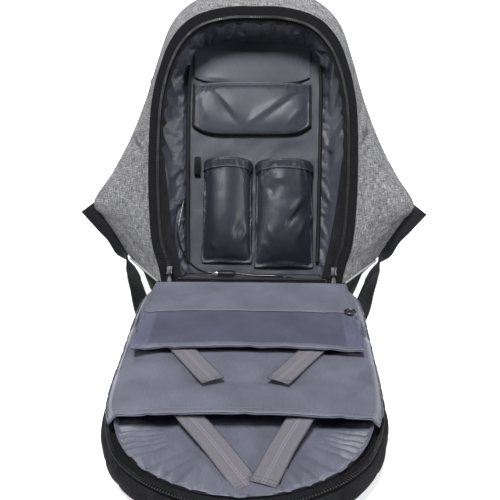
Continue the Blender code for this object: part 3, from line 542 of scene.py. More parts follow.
def cloth(name, grids, finish, wall, uvs=None, offset=-1.0):
    """Sheets of cloth sewn into one piece: each grid is rows by columns of points.

    Neighbouring points make four-cornered faces that look along the cross product of the
    step along a row and the step to the next row. The wall's thickness lies behind them.
    """
    if not isinstance(grids, (list, tuple)):
        grids = [grids]
        uvs = None if uvs is None else [uvs]
    points, faces, places = [], [], []
    for index, grid in enumerate(grids):
        faces.append(grid_faces(*grid.shape[:2], first=sum(len(p) for p in points)))
        points.append(grid.reshape(-1, 3))
        chart = cloth_uv(grid) if uvs is None else uvs[index]
        places.append(chart.reshape(-1, 2))
    faces = np.vstack(faces)
    places = np.vstack(places)
    mesh = bpy.data.meshes.new(name)
    mesh.from_pydata(np.vstack(points).tolist(), [], faces.tolist())
    chart = mesh.uv_layers.new(name="cloth")
    chart.uv.foreach_set("vector", places[faces.ravel()].astype(np.float32).ravel())
    sew(mesh, gap=0.00002, outward=False)
    mesh.shade_smooth()
    mesh.set_sharp_from_angle(angle=math.radians(52))
    obj = add_piece(name, mesh, finish)
    thick = obj.modifiers.new("wall", "SOLIDIFY")
    thick.thickness = wall
    thick.offset = offset
    return obj


def push(grid, amount):
    """Moves a grid's points along its own normals, by one amount or one for each point."""
    along = np.gradient(grid, axis=1)
    across = np.gradient(grid, axis=0)
    normal = np.cross(along, across)
    normal /= np.maximum(np.linalg.norm(normal, axis=2, keepdims=True), 1e-9)
    return grid + normal * np.asarray(amount)[..., None]


heather = Finish("heather cloth", HEATHER_MID, roughness=0.88, sheen=0.05, gloss=0.2)
flecks = heather.noise(heather.place((820.0, 84.0, 1.0)), detail=3.0, roughness=0.66)
cross_flecks = heather.noise(heather.place((84.0, 820.0, 1.0)), detail=3.0, roughness=0.66)
clouds = heather.noise(heather.place((55.0, 32.0, 1.0)), detail=3.0)
woven = heather.ramp(flecks, (
    (0.30, HEATHER_DARK),
    (0.44, shade(HEATHER_MID, 0.72)),
    (0.55, shade(HEATHER_MID, 1.18)),
    (0.72, HEATHER_LIGHT),
))
crossed = heather.ramp(cross_flecks, ((0.36, (0.46,) * 3), (0.60, (1.34,) * 3)))
clouded = heather.ramp(clouds, ((0.30, (0.86,) * 3), (0.70, (1.12,) * 3)))
heather.paint(heather.mix(1.0, heather.mix(1.0, woven, crossed, "MULTIPLY"), clouded, "MULTIPLY"))
warp = heather.wave(heather.place(), "X", scale=420.0)
weft = heather.wave(heather.place(), "Y", scale=420.0)
heather_threads = heather.math("ADD", heather.math("MULTIPLY", warp, weft), flecks)
heather.bump(heather_threads, distance=0.0006, strength=0.7)

side_table = spline(both_sides(SIDE_ROWS, (1, 3)), steps=16) * ROW_SCALE
across_shares = np.linspace(1, 0, 46)
rim_line = side_table[:, (1, 0)]
fold_line = side_table[:, (3, 2, 4)]
share = across_shares[:, None]
wall_side = rim_line[:, 0] + (fold_line[:, 0] - rim_line[:, 0]) * share
wall_height = rim_line[:, 1] + (fold_line[:, 1] - rim_line[:, 1]) * share
wall_depth = fold_line[:, 2] * share
wall_grid = shell_point(wall_side, wall_height, wall_depth)
along_rim = walked(rim_line)
wall_width = np.linalg.norm(wall_grid[-1] - wall_grid[0], axis=1)
edge_hold = np.sin(math.pi * across_shares)[:, None] ** 0.6
pressed = np.zeros(wall_side.shape)
for hand, low, low_share, high, high_share, half_width, depth in SIDE_CREASES:
    mask = np.clip(0.5 + hand * wall_side / MIDDLE_BLEND, 0, 1)
    line = (low, low_share * CREASE_SPAN, high, high_share * CREASE_SPAN, half_width, depth)
    pressed += mask * creases(wall_height, share * CREASE_SPAN, (line,))
pressed += 0.0011 * rumple(along_rim[None, :], share * wall_width, size=0.060, seed=11, tilt=0.2, spread=0.9)
pressed += 0.0006 * rumple(along_rim[None, :], share * wall_width, size=0.022, seed=12, tilt=1.2, spread=0.8)
wall_grid = push(wall_grid, -pressed * edge_hold)
wall_uv = stacked(share * wall_width, along_rim[None, :])

face_half = side_table[: len(side_table) // 2 + 1]
face_shares = np.sin(np.linspace(math.pi / 2, -math.pi / 2, 81))
face_side = face_half[:, [3]] * face_shares
face_height = face_half[:, [2]]
face_depth = face_half[:, [4]] + face_half[:, [5]] * (1 - face_shares ** 2)
face_fall = 0.0022 * rumple(face_side, face_height, size=0.085, seed=13)
face_depth = face_depth + (1 - face_shares ** 2) * face_fall
face_grid = shell_point(face_side, face_height, face_depth)
face_uv = stacked(face_side, face_height)
shell_piece = cloth("heather_shell", [wall_grid, face_grid], heather, SHELL_WALL, [wall_uv, face_uv])
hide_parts("shell_front")

# Black base and the pale piping on its seam.
# The base is a plain black polyester cut that closes the bag below the heather cloth. A pale
# corded piping is sewn into that seam on both sides.
BASE_DEPTH = 0.066
FOOT_RISE = 0.008
BASE_WALL = 0.002
SEAM_GAP = 0.0020
PIPING_RADIUS = 0.0015
CLEARANCE = 0.0004
CLOTH_BLACK = (0.010, 0.010, 0.012)
PIPING_PALE = (0.360, 0.360, 0.370)
HANDS = ((-1, "left"), (1, "right"))
FOOT_DEPTH = (HINGE_Z + FOOT_RISE * math.cos(LEAN)) / math.sin(LEAN)
BASE_ROWS = (
    (0.000, 0.860, 0.000, 0.563, BASE_DEPTH / SIDE_DEPTH, 0.00),
    (0.007, 0.850, FOOT_RISE / SHELL_LENGTH, 0.580, FOOT_DEPTH / SIDE_DEPTH, 0.00),
    (0.024, 0.842, 0.066, 0.636, 1.17, 0.32),
    (0.044, 0.836, 0.108, 0.672, 1.06, 0.50),
)

black_cloth = Finish("black cloth", CLOTH_BLACK, roughness=0.72, sheen=0.02, gloss=0.07)
black_weave = black_cloth.wave(black_cloth.place(), "DIAGONAL", scale=330.0)
black_wear = black_cloth.noise(black_cloth.place((60.0, 60.0, 1.0)), detail=3.0)
black_cloth.paint(black_cloth.ramp(black_wear, (
    (0.30, shade(CLOTH_BLACK, 0.7)),
    (0.75, shade(CLOTH_BLACK, 1.7)),
)))
black_cloth.bump(black_weave, distance=0.0004, strength=0.5)

piping_cloth = Finish("pale piping", PIPING_PALE, roughness=0.6, sheen=0.2)
piping_turns = piping_cloth.wave(piping_cloth.place(source="Object"), "DIAGONAL", scale=260.0)
piping_cloth.paint(piping_cloth.ramp(piping_turns, (
    (0.10, shade(PIPING_PALE, 0.62)),
    (0.60, PIPING_PALE),
)))
piping_cloth.bump(piping_turns, distance=0.0004, strength=0.6)

seam_row = np.array(SIDE_ROWS[0]) - (
    SEAM_GAP / RIM_LENGTH, 0, 1.5 * SEAM_GAP / SHELL_LENGTH, 0.3 * SEAM_GAP / WING_REACH, 0, 0)
base_table = np.array(BASE_ROWS + (tuple(seam_row),))
base_table = np.vstack([
    np.linspace(low, high, 8, endpoint=False) for low, high in zip(base_table, base_table[1:])
] + [base_table[-1:]]) * ROW_SCALE
walk = np.linspace(0, 1, 13)
base_columns = []
for hand in (1, -1):
    rim_to_fold = walk if hand > 0 else walk[::-1]
    base_columns.append(shell_point(
        hand * (base_table[:, [1]] + (base_table[:, [3]] - base_table[:, [1]]) * rim_to_fold),
        base_table[:, [0]] + (base_table[:, [2]] - base_table[:, [0]]) * rim_to_fold,
        base_table[:, [4]] * rim_to_fold,
    ))
base_turn = np.linspace(1, -1, 41)[1:-1]
base_face = shell_point(
    base_table[:, [3]] * base_turn,
    base_table[:, [2]],
    base_table[:, [4]] + base_table[:, [5]] * (1 - base_turn ** 2),
)
base_grid = np.concatenate((base_columns[0], base_face, base_columns[1]), axis=1)
foot_share = walk[:, None]
foot_turn = np.linspace(-1, 1, 41)
foot_half = base_table[0, 1] + (base_table[0, 3] - base_table[0, 1]) * foot_share
foot_grid = shell_point(foot_half * foot_turn, 0.0, base_table[0, 4] * foot_share)
base_piece = cloth("black_base", [base_grid, foot_grid[::-1]], black_cloth, BASE_WALL)
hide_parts("base_panel")

seam_share = np.linspace(0.06, 0.93, 40)
seam_rim = np.array((base_table[-1, 1], base_table[-1, 0], 0.0))
seam_fold = np.array((base_table[-1, 3], base_table[-1, 2], base_table[-1, 4]))
seam_slope = unit(seam_fold - seam_rim)
seam_away = unit(np.array((seam_slope[2], 0.0, -seam_slope[0])))
seam_line = seam_rim + (seam_fold - seam_rim) * seam_share[:, None]
seam_line = seam_line + seam_away * (PIPING_RADIUS + CLEARANCE)
for hand, label in HANDS:
    piping_run = shell_point(
        hand * seam_line[:, 0], seam_line[:, 1] + SEAM_GAP / 2, seam_line[:, 2])
    piping = cord_curve("seam_cord_" + label, piping_run, PIPING_RADIUS, piping_cloth)
    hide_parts("seam_piping_" + label)

# Zip round the mouth of the shell.
# A black woven tape is sewn along the rim, with a nylon coil on its inner edge. Two cloth
# guards stand inside it next to the hinge, and two metal sliders rest at its lower ends.
TAPE_WIDTH = 0.015
TAPE_THICKNESS = 0.0012
CHAIN_WIDTH = 0.004
CHAIN_THICKNESS = 0.002
TOOTH_PITCH = 0.0030
TOOTH_SIZE = (CHAIN_WIDTH, 0.0017, 0.0014)
TOOTH_EDGE = 0.0003
COIL_BED = 0.0006
ZIP_START = 0.012
GUARD_TOP = 0.204
SLIDER_RISE = 0.036
SLIDER_LENGTH = 0.034
# The facing starts this far in from the rim, reaches past the tape and waves out of true.
FACING_START = 0.006
FACING_REACH = 0.0075
FACING_SWAY = 0.0036
FACING_LIFT = 0.0030
# Over this share of the rim's height the tape widens outwards by TAPE_TOP_OUT.
TAPE_TOP_FROM = 0.80
TAPE_TOP_OVER = 0.15
TAPE_TOP_OUT = 0.0045
TAPE_BLACK = (0.008, 0.008, 0.010)
TOOTH_BLACK = (0.010, 0.010, 0.012)
GUNMETAL = (0.110, 0.110, 0.120)
# Columns: height as a share of GUARD_TOP, side as a share of RIM_HALF_WIDTH.
GUARD_ROWS = (
    (0.16, 0.640),
    (0.43, 0.728),
    (0.70, 0.793),
    (1.00, 0.848),
)
# Columns: place along the slider, half width, thickness and lift off the chain, all as
# shares of SLIDER_LENGTH.
SLIDER_BODY_ROWS = (
    (0.00, 0.085, 0.110, 0.00),
    (0.03, 0.115, 0.150, 0.00),
    (0.18, 0.100, 0.160, 0.00),
    (0.33, 0.120, 0.150, 0.00),
    (0.36, 0.090, 0.110, 0.00),
)
SLIDER_PULL_ROWS = (
    (-0.64, 0.085, 0.050, 0.03),
    (-0.62, 0.115, 0.065, 0.03),
    (-0.35, 0.105, 0.070, 0.03),
    (-0.12, 0.070, 0.065, 0.03),
    (-0.04, 0.045, 0.060, 0.03),
    (0.10, 0.045, 0.060, 0.10),
)

tape_cloth = Finish("black zip tape", TAPE_BLACK, roughness=0.74, sheen=0.02, gloss=0.06)
tape_ribs = tape_cloth.wave(tape_cloth.place(), "Y", scale=300.0)
tape_cloth.paint(tape_cloth.ramp(tape_ribs, (
    (0.0, shade(TAPE_BLACK, 0.6)),
    (1.0, shade(TAPE_BLACK, 1.9)),
)))
tape_cloth.bump(tape_ribs, distance=0.0005, strength=0.7)
nylon = Finish("nylon coil", TOOTH_BLACK, roughness=0.42, gloss=0.40)
nylon_marks = nylon.noise(nylon.place(source="Object"), scale=900.0)
nylon.bump(nylon_marks, distance=0.0001, strength=0.4)
nylon_patches = nylon.noise(nylon.place(source="Object"), scale=55.0)
nylon.rough(nylon.math("MULTIPLY_ADD", nylon_patches, 0.9, 0.02))
gunmetal = Finish("dark metal", GUNMETAL, roughness=0.32, metallic=0.95)
gun_marks = gunmetal.noise(gunmetal.place(source="Object"), scale=700.0, detail=3.0)
gunmetal.rough(gunmetal.math("MULTIPLY_ADD", gun_marks, 0.35, 0.18))
gunmetal.bump(gun_marks, distance=0.00008, strength=0.4)

rim_rows = [row[:2] for row in BASE_ROWS[1:] + SIDE_ROWS]
zip_path = spline(both_sides(rim_rows, (1,)), steps=14) * (RIM_LENGTH, RIM_HALF_WIDTH)
zip_path = zip_path[zip_path[:, 0] > ZIP_START][:, ::-1]
zip_step = unit(np.gradient(zip_path, axis=0))
zip_inward = np.column_stack((-zip_step[:, 1], zip_step[:, 0]))
zip_run = walked(zip_path)
tape_front = -CLEARANCE - TAPE_THICKNESS


def rim_band(inset, depth):
    """Grid of a flat band that follows the rim: rows at each inset, at the given depth."""
    inset = np.asarray(inset)
    inset = inset[:, None] if inset.ndim == 1 else inset
    side = zip_path[None, :, 0] + zip_inward[None, :, 0] * inset
    height = zip_path[None, :, 1] + zip_inward[None, :, 1] * inset
    return shell_point(side, height, depth)


def bars(name, middles, ways, ups, shape, finish, bevel=0.0):
    """Many small bars in one piece. Each has eight corners round its middle: half its length
    along its way, half its width across and half its height along its up vector.
    """
    ways = np.broadcast_to(ways, middles.shape)
    ups = np.broadcast_to(ups, middles.shape)
    length, width, height = (size / 2 for size in shape)
    sides = np.cross(ways, ups)
    corners = [
        middles + ways * length * a + sides * width * b + ups * height * c
        for a in (-1, 1) for b in (-1, 1) for c in (-1, 1)
    ]
    points = np.stack(corners, axis=1)
    box = np.array(((0, 1, 3, 2), (4, 6, 7, 5), (0, 4, 5, 1), (2, 3, 7, 6), (0, 2, 6, 4), (1, 5, 7, 3)))
    faces = (box[None] + 8 * np.arange(len(middles))[:, None, None]).reshape(-1, 4)
    mesh = bpy.data.meshes.new(name)
    mesh.from_pydata(points.reshape(-1, 3).tolist(), [], faces.tolist())
    sew(mesh, gap=None, outward=True)
    obj = add_piece(name, mesh, finish)
    if bevel:
        soft = obj.modifiers.new("soft_edges", "BEVEL")
        soft.width = bevel
        soft.segments = 1
    return obj


insets = np.linspace(0, 1, 9)[:, None]
tape_rise = np.clip((zip_path[:, 1] / RIM_LENGTH - TAPE_TOP_FROM) / TAPE_TOP_OVER, 0, 1)
tape_out = TAPE_TOP_OUT * tape_rise
insets = -tape_out + (TAPE_WIDTH + tape_out) * insets
wobble = 0.0007 * rumple(zip_run[None, :], 0.0, size=0.030, seed=21, tilt=math.pi / 2, spread=0.3)
tape_piece = cloth("zip_tape", rim_band(insets, tape_front - np.abs(wobble)), tape_cloth, TAPE_THICKNESS)
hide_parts("shell_zip_tape")
facing_insets = np.linspace(FACING_START, TAPE_WIDTH + FACING_REACH, 12)[:, None]
facing_curl = np.clip((facing_insets - TAPE_WIDTH) / FACING_REACH, 0, 1)
facing_wave = rumple(zip_run[None, :], facing_insets, size=0.024, seed=23, tilt=math.pi / 2, spread=0.4)
facing_grid = rim_band(
    facing_insets + FACING_SWAY * facing_curl * facing_wave,
    CLEARANCE + facing_curl * FACING_LIFT * (1 + facing_wave),
)
facing_piece = cloth("zip_facing", facing_grid, black_cloth, TAPE_THICKNESS)
inner_edge = TAPE_WIDTH - CHAIN_WIDTH
coil_bed = cloth(
    "zip_coil_bed",
    rim_band(np.linspace(inner_edge, TAPE_WIDTH, 3), tape_front - CLEARANCE - COIL_BED),
    tape_cloth,
    COIL_BED,
)
tooth_places = np.arange(TOOTH_PITCH / 2, zip_run[-1], TOOTH_PITCH)


def read_along(places, run, values):
    """Rows of values read at places along a run, each column between its nearest two."""
    return np.column_stack([np.interp(places, run, column) for column in values.T])


def shell_way(side, height, depth):
    """A direction given in the leaning shell's own frame, turned into the row frame."""
    return shell_point(side, height, depth) - shell_point(0.0, 0.0, 0.0)


tooth_in = read_along(tooth_places, zip_run, zip_inward)
tooth_spot = read_along(tooth_places, zip_run, zip_path) + tooth_in * (inner_edge + 0.6 * CHAIN_WIDTH)
tooth_middle = shell_point(tooth_spot[:, 0], tooth_spot[:, 1], tape_front - CLEARANCE - 2 * COIL_BED)
tooth_way = unit(shell_way(tooth_in[:, 0], tooth_in[:, 1], 0.0))
toward_viewer = shell_way(0.0, 0.0, -1.0)
teeth = bars(
    "zip_teeth", tooth_middle, tooth_way, toward_viewer, TOOTH_SIZE, nylon, bevel=TOOTH_EDGE)
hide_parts("shell_zip_chain")

guard_line = spline(GUARD_ROWS, steps=14) * (GUARD_TOP, RIM_HALF_WIDTH)
zip_right = zip_path[: len(zip_path) // 2]
guard_outer = np.interp(guard_line[:, 0], zip_right[:, 1], zip_right[:, 0]) - TAPE_WIDTH * 0.8
guard_share = np.linspace(0, 1, 12)[:, None]
guard_side = guard_outer + (guard_line[:, 1] - guard_outer) * guard_share
guard_sway = 0.0009 * rumple(guard_line[:, 0], guard_side, size=0.045, seed=22, tilt=0.3, spread=0.6)
slider_edge = np.interp(SLIDER_RISE, zip_right[:, 1], zip_right[:, 0])
chain_front = tape_front - CLEARANCE - CHAIN_THICKNESS


def slider_rings(middle, rows, power):
    """Rounded rings of a slider's body or pull on the front of the chain, one for each row."""
    rings = []
    for place, half, thick, lift in rows:
        across, up = rounded(2 * half * SLIDER_LENGTH, thick * SLIDER_LENGTH, power=power)
        depth = chain_front - CLEARANCE - (lift + thick / 2) * SLIDER_LENGTH + up
        rings.append(shell_point(middle + across, SLIDER_RISE + place * SLIDER_LENGTH, depth))
    return rings


for hand, label in HANDS:
    guard_grid = shell_point(hand * guard_side, guard_line[:, 0], CLEARANCE + np.abs(guard_sway))
    guard_grid = guard_grid if hand > 0 else guard_grid[::-1]
    guard_piece = cloth("zip_flap_" + label, guard_grid, black_cloth, TAPE_THICKNESS)
    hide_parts("zip_guard_" + label)

    slider_middle = hand * (slider_edge - inner_edge - CHAIN_WIDTH / 2)
    body_rings = slider_rings(slider_middle, SLIDER_BODY_ROWS, 4.0)
    pull_rings = slider_rings(slider_middle, SLIDER_PULL_ROWS, 6.0)
    slider = sleeve("zip_slider_body_" + label, body_rings, gunmetal)
    pull = sleeve("zip_pull_" + label, pull_rings, gunmetal)
    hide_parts("zip_slider_" + label)

# Slate lining of the shell.
# A thin satin polyester in three cuts: a gusset round the mouth, a back and a floor. They
# are sewn together along the corner, and the loose cloth lies in soft slanting folds.
LINING_WALL = 0.0012
SETTLE_FRAMES = 22
LINING_INSET = 0.005
LINING_HALF_WIDTH = 0.097
LINING_TOP = 0.400
LINING_DEPTH = 0.066
LINING_TAPER = 0.05
FLOOR_FRONT_RISE = 0.022
FLOOR_BACK_RISE = 0.050
SLATE = (0.044, 0.047, 0.066)
SLATE_DARK = (0.019, 0.021, 0.033)
# Columns: corner height and half width as shares of LINING_TOP and LINING_HALF_WIDTH, rim
# height and half width as shares of RIM_LENGTH and RIM_HALF_WIDTH.
LINING_ROWS = (
    (0.125, 0.960, 0.052, 0.825),
    (0.200, 0.970, 0.118, 0.865),
    (0.310, 0.985, 0.220, 0.945),
    (0.430, 0.995, 0.360, 0.982),
    (0.580, 1.010, 0.520, 1.000),
    (0.730, 1.020, 0.665, 0.987),
    (0.860, 1.020, 0.798, 0.916),
    (0.945, 0.970, 0.897, 0.786),
    (0.982, 0.780, 0.965, 0.580),
    (0.996, 0.400, 0.996, 0.290),
    (1.000, 0.000, 1.000, 0.000),
)
GUSSET_DEEPENING = 1.6
# Folds of the gusset. Columns: distance along the rim from the middle of the top and across
# from the rim at both ends, half width and depth, in metres. Below 0 stands proud.
GUSSET_FOLDS = (
    (-0.110, 0.006, -0.205, 0.060, 0.012, 0.006),
    (-0.060, 0.010, -0.150, 0.066, 0.010, -0.005),
    (-0.190, 0.008, -0.300, 0.058, 0.009, 0.005),
    (-0.250, 0.006, -0.345, 0.050, 0.007, -0.004),
    (0.070, 0.008, 0.175, 0.064, 0.011, 0.006),
    (0.110, 0.006, 0.215, 0.062, 0.007, -0.006),
    (0.170, 0.006, 0.262, 0.060, 0.006, 0.005),
    (0.205, 0.008, 0.300, 0.058, 0.007, -0.005),
    (0.300, 0.010, 0.400, 0.050, 0.007, 0.004),
    (0.355, 0.006, 0.430, 0.046, 0.006, -0.004),
)


def satin(name, colour, seed):
    """Slate satin: a fine twill with soft sheen, faint slubs and slow changes of tone.

    The seed shifts the scale of those changes, so no two pieces show the same ones.
    """
    finish = Finish(name, colour, roughness=0.40, sheen=0.04, gloss=0.50)
    slubs = finish.noise(finish.place((900.0, 90.0, 1.0)))
    cloud = finish.noise(finish.place((15.0 + seed, 20.0, 1.0)))
    yarn = finish.ramp(slubs, ((0.30, shade(colour, 0.86)), (0.70, shade(colour, 1.12))))
    tint = finish.ramp(cloud, ((0.30, (0.82,) * 3), (0.70, (1.14,) * 3)))
    finish.paint(finish.mix(1.0, yarn, tint, "MULTIPLY"))
    twill = finish.wave(finish.place(), "DIAGONAL", scale=420.0)
    finish.bump(finish.math("ADD", twill, slubs), distance=0.00022, strength=0.45)
    finish.rough(finish.math("MULTIPLY_ADD", slubs, 0.14, 0.33))
    return finish


def settle(grid, pinned, grow, bend, reach, weight=0.25):
    """Cloth simulation of one grid, pinned where the mask says.

    The cloth is cut larger by the share grow, so it buckles into folds, and no point moves
    further than reach from where it started.
    """
    mesh = bpy.data.meshes.new("trial_cloth")
    mesh.from_pydata(grid.reshape(-1, 3).tolist(), [], grid_faces(*grid.shape[:2]).tolist())
    trial = bpy.data.objects.new("trial_cloth", mesh)
    bpy.context.collection.objects.link(trial)
    held = trial.vertex_groups.new(name="pinned")
    mask = np.broadcast_to(pinned, grid.shape[:2]).ravel()
    held.add(np.flatnonzero(mask > 0.5).tolist(), 1.0, "REPLACE")
    cloth_modifier = trial.modifiers.new("cloth", "CLOTH")
    settings = cloth_modifier.settings
    settings.quality = 5
    settings.mass = 0.15
    settings.tension_stiffness = 12.0
    settings.compression_stiffness = 12.0
    settings.shear_stiffness = 6.0
    settings.bending_stiffness = bend
    settings.shrink_min = -grow
    settings.vertex_group_mass = "pinned"
    settings.effector_weights.gravity = weight
    cloth_modifier.collision_settings.use_collision = False
    cloth_modifier.point_cache.frame_start = 1
    cloth_modifier.point_cache.frame_end = SETTLE_FRAMES
    scene = bpy.context.scene
    for step in range(1, SETTLE_FRAMES + 1):
        scene.frame_set(step)
    settled = trial.evaluated_get(bpy.context.evaluated_depsgraph_get()).to_mesh()
    points = np.empty(grid.size, np.float32)
    settled.vertices.foreach_get("co", points)
    scene.frame_set(1)
    bpy.data.objects.remove(trial, do_unlink=True)
    moved = points.reshape(grid.shape).astype(float) - grid
    far = np.linalg.norm(moved, axis=2, keepdims=True)
    return grid + moved * np.minimum(1.0, reach / np.maximum(far, 1e-9))


def edge_pins(grid):
    """Mask of a grid's four edges, which hold still while the rest settles."""
    pins = np.ones(grid.shape[:2])
    pins[1:-1, 1:-1] = 0
    return pins


def lining_depth(height):
    """Depth of the lining's back at a height, less by LINING_TAPER for each metre up."""
    return LINING_DEPTH - LINING_TAPER * height


slate_satin = satin("slate lining", SLATE, 0.0)
lining_table = spline(both_sides(LINING_ROWS, (1, 3)), steps=15)
corner_height = np.maximum(lining_table[:, 0] * LINING_TOP, FLOOR_BACK_RISE)
corner_side = lining_table[:, 1] * LINING_HALF_WIDTH
rim_inset = LINING_INSET * np.clip(np.abs(lining_table[:, 3]) * 4, 0, 1)
mouth_side = lining_table[:, 3] * RIM_HALF_WIDTH - np.sign(lining_table[:, 3]) * rim_inset
mouth_height = lining_table[:, 2] * RIM_LENGTH - LINING_INSET * lining_table[:, 2] ** 8
gusset_share = np.linspace(0, 1, 34)[:, None]
gusset_grid = shell_point(
    mouth_side + (corner_side - mouth_side) * gusset_share,
    mouth_height + (corner_height - mouth_height) * gusset_share,
    CLEARANCE + (lining_depth(corner_height) - CLEARANCE) * gusset_share,
)
gusset_along = walked(gusset_grid[len(gusset_grid) // 2])
gusset_along = gusset_along[-1] / 2 - gusset_along
gusset_across = gusset_share * np.linalg.norm(gusset_grid[-1] - gusset_grid[0], axis=1)
gusset_hold = np.sin(math.pi * gusset_share) ** 0.5
gusset_fall = GUSSET_DEEPENING * creases(gusset_along, gusset_across, GUSSET_FOLDS)
gusset_fall += 0.0012 * rumple(gusset_along, gusset_across, size=0.050, seed=31, tilt=0.6, spread=0.5)
gusset_grid = push(gusset_grid, -gusset_fall * gusset_hold)
gusset_grid = settle(gusset_grid, edge_pins(gusset_grid), grow=0.040, bend=2.5, reach=0.006)
gusset_uv = stacked(gusset_across, gusset_along)

back_half = len(lining_table) // 2 + 1
back_share = np.linspace(-1, 1, 71)
back_side = corner_side[:back_half, None] * back_share
back_height = corner_height[:back_half, None]
back_pleats = 0.0004 * np.sin(2 * math.pi * back_side / 0.0125 + 1.3 * np.sin(back_side / 0.021))
back_pleats = back_pleats * np.clip((back_height - 0.378) / 0.012, 0, 1)
back_calm = (1 - back_share ** 6) * np.clip((LINING_TOP - back_height) / 0.02, 0, 1)
back_fall = 0.0017 * rumple(back_side, back_height, size=0.045, seed=32, tilt=0.2, spread=0.8) + back_pleats
back_grid = shell_point(back_side, back_height, lining_depth(back_height) + np.abs(back_fall) * back_calm)
floor_share = np.linspace(0, 1, 26)[:, None]
floor_turn = np.linspace(-1, 1, 71)
floor_half = mouth_side[0] + (corner_side[0] - mouth_side[0]) * floor_share
floor_height = mouth_height[0] + (corner_height[0] - mouth_height[0]) * floor_share
floor_depth = CLEARANCE + (lining_depth(corner_height[0]) - CLEARANCE) * floor_share
floor_place = floor_half * floor_turn
floor_sag = 0.0034 * rumple(floor_place, 0.07 * floor_share, size=0.020, seed=33, tilt=1.5, spread=0.35)
floor_sag = np.abs(floor_sag) * np.sin(math.pi * floor_share) * (1 - floor_turn ** 4)
lining_floor = shell_point(floor_place, floor_height - floor_sag, floor_depth)
lining_piece = cloth(
    "slate_lining",
    [gusset_grid, back_grid, lining_floor],
    slate_satin,
    LINING_WALL,
    [gusset_uv, stacked(back_side, back_height), cloth_uv(lining_floor)],
)
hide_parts("shell_lining")

# Piping over the two long seams of the lining.
# A black binding is folded over the seam between gusset and back on both sides.
PIPING_COVER_RADIUS = 0.0028
PIPING_LOW = 0.170
PIPING_HIGH = 0.900
seam_height = np.linspace(PIPING_LOW, PIPING_HIGH, 60) * LINING_TOP
corner_right = corner_side[:back_half]
binding_cloth = Finish("black binding", CLOTH_BLACK, roughness=0.6, sheen=0.03, gloss=0.2)
binding_ribs = binding_cloth.wave(binding_cloth.place(source="Object"), "Z", scale=240.0, distortion=0.5)
binding_cloth.bump(binding_ribs, distance=0.0004, strength=0.6)
for hand, label in HANDS:
    cover_side = np.interp(seam_height, corner_height[:back_half], corner_right)
    cover_side = cover_side - 0.75 * PIPING_COVER_RADIUS
    cover_depth = lining_depth(seam_height) - PIPING_COVER_RADIUS - 2 * CLEARANCE
    cover_run = shell_point(hand * cover_side, seam_height, cover_depth)
    cover = cord_curve("lining_binding_" + label, cover_run, PIPING_COVER_RADIUS, binding_cloth)
    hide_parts("lining_piping_" + label)

# Phone pocket at the top of the lining.
# A crowned satin pocket with round lower corners, edged with black binding. A slit crosses
# its top, and a flat band of the same satin covers the rest up to the ceiling.
POCKET_WALL = 0.0012
PHONE_EDGES = (-0.92, 0.84)
PHONE_LOW = 0.256
PHONE_SLIT = 0.331
PHONE_HIGH = 0.384
PHONE_SWELL = 0.009
ZIP_GAP = 0.003
# The band's pleats start at this height and are whole a little above it.
PLEATS_FROM = 0.352
PLEATS_OVER = 0.014
EDGING_RADIUS = 0.0019
EDGING_LIFT = 0.0018
SLIT_RADIUS = 0.0013
SLIT_LIFT = 0.0048
SEAM_LIFT = 0.0004
SLIT_COLUMNS = slice(14, 76)
THREAD = (0.20, 0.20, 0.23)
STITCH_LIFT = 0.3
# Length of a stitch, gap to the next and thickness of the thread, in metres.
HEM_STITCH = (0.0030, 0.0014, 0.0005)
# Columns: side and height at both ends, half width and depth, in metres.
PHONE_BAND_FOLDS = (
    (-0.080, 0.345, -0.030, 0.338, 0.0040, -0.0012),
)
PHONE_FOLDS = (
    (-0.062, 0.327, -0.006, 0.262, 0.0045, -0.0034),
    (-0.064, 0.322, -0.022, 0.262, 0.0055, 0.0042),
    (0.056, 0.318, -0.022, 0.260, 0.0050, -0.0052),
    (0.070, 0.322, -0.010, 0.262, 0.0060, 0.0046),
    (-0.082, 0.318, -0.060, 0.268, 0.0060, -0.0016),
    (0.074, 0.300, 0.040, 0.262, 0.0050, -0.0018),
)


def pouch(left, right, low, high, swell, shape, rows, cols):
    """Grid of a pocket sewn to the lining on three sides.

    A round one swells as half an ellipse across, out = swell * sin(turn). A flat one swells
    as 1 - q^4, with its lower corners raised by q^6. Both rise quickly from their foot.
    """
    r = np.linspace(0, 1, rows)[:, None]
    turn = np.linspace(0, math.pi, cols)[None, :]
    q = -np.cos(turn)
    if shape == "round":
        rise = 0.04 + 0.96 * (1 - (1 - r) ** 5)
        out = swell * np.sin(turn) * rise
    else:
        rise = 1 - (1 - r) ** 6
        out = swell * (1 - q ** 4) * rise
    height = low + (high - low) * r
    if shape == "flat":
        height = height + (1 - r) * (high - low) * 0.18 * q ** 6
    side = (left + right) / 2 + (right - left) / 2 * q
    depth = lining_depth(height) - CLEARANCE - POCKET_WALL - out
    return shell_point(side, height, depth), side, height


def cut_size(grid):
    """Width and length of a grid of cloth, each the longest of its rows and columns."""
    width = max(run_length(row) for row in grid)
    length = max(run_length(column) for column in grid.transpose(1, 0, 2))
    return width, length


def stitch_line(name, run, up, stitch, finish):
    """Stitches along a run of points: short bars of thread with gaps between them.

    stitch holds the length of one, the gap to the next and the thickness of the thread.
    """
    length, gap, thick = stitch
    step = walked(run)
    spots = np.arange(length / 2, step[-1], length + gap)
    middles = read_along(spots, step, run)
    ways = read_along(spots, step, unit(np.gradient(run, axis=0)))
    middles = middles + np.asarray(up) * thick * STITCH_LIFT
    piece = bars(name, middles, ways, up, (length, thick, thick), finish)


def twisted_thread(name, colour):
    """Twisted sewing thread: slanting ribs on a plain colour."""
    finish = Finish(name, colour, roughness=0.6)
    twist = finish.wave(finish.place(source="Object"), "DIAGONAL", scale=900.0)
    finish.bump(twist, distance=0.0001, strength=0.5)
    return finish


pocket_satin = satin("pocket satin", shade(SLATE, 1.10), 3.0)
thread_finish = twisted_thread("sewing thread", THREAD)

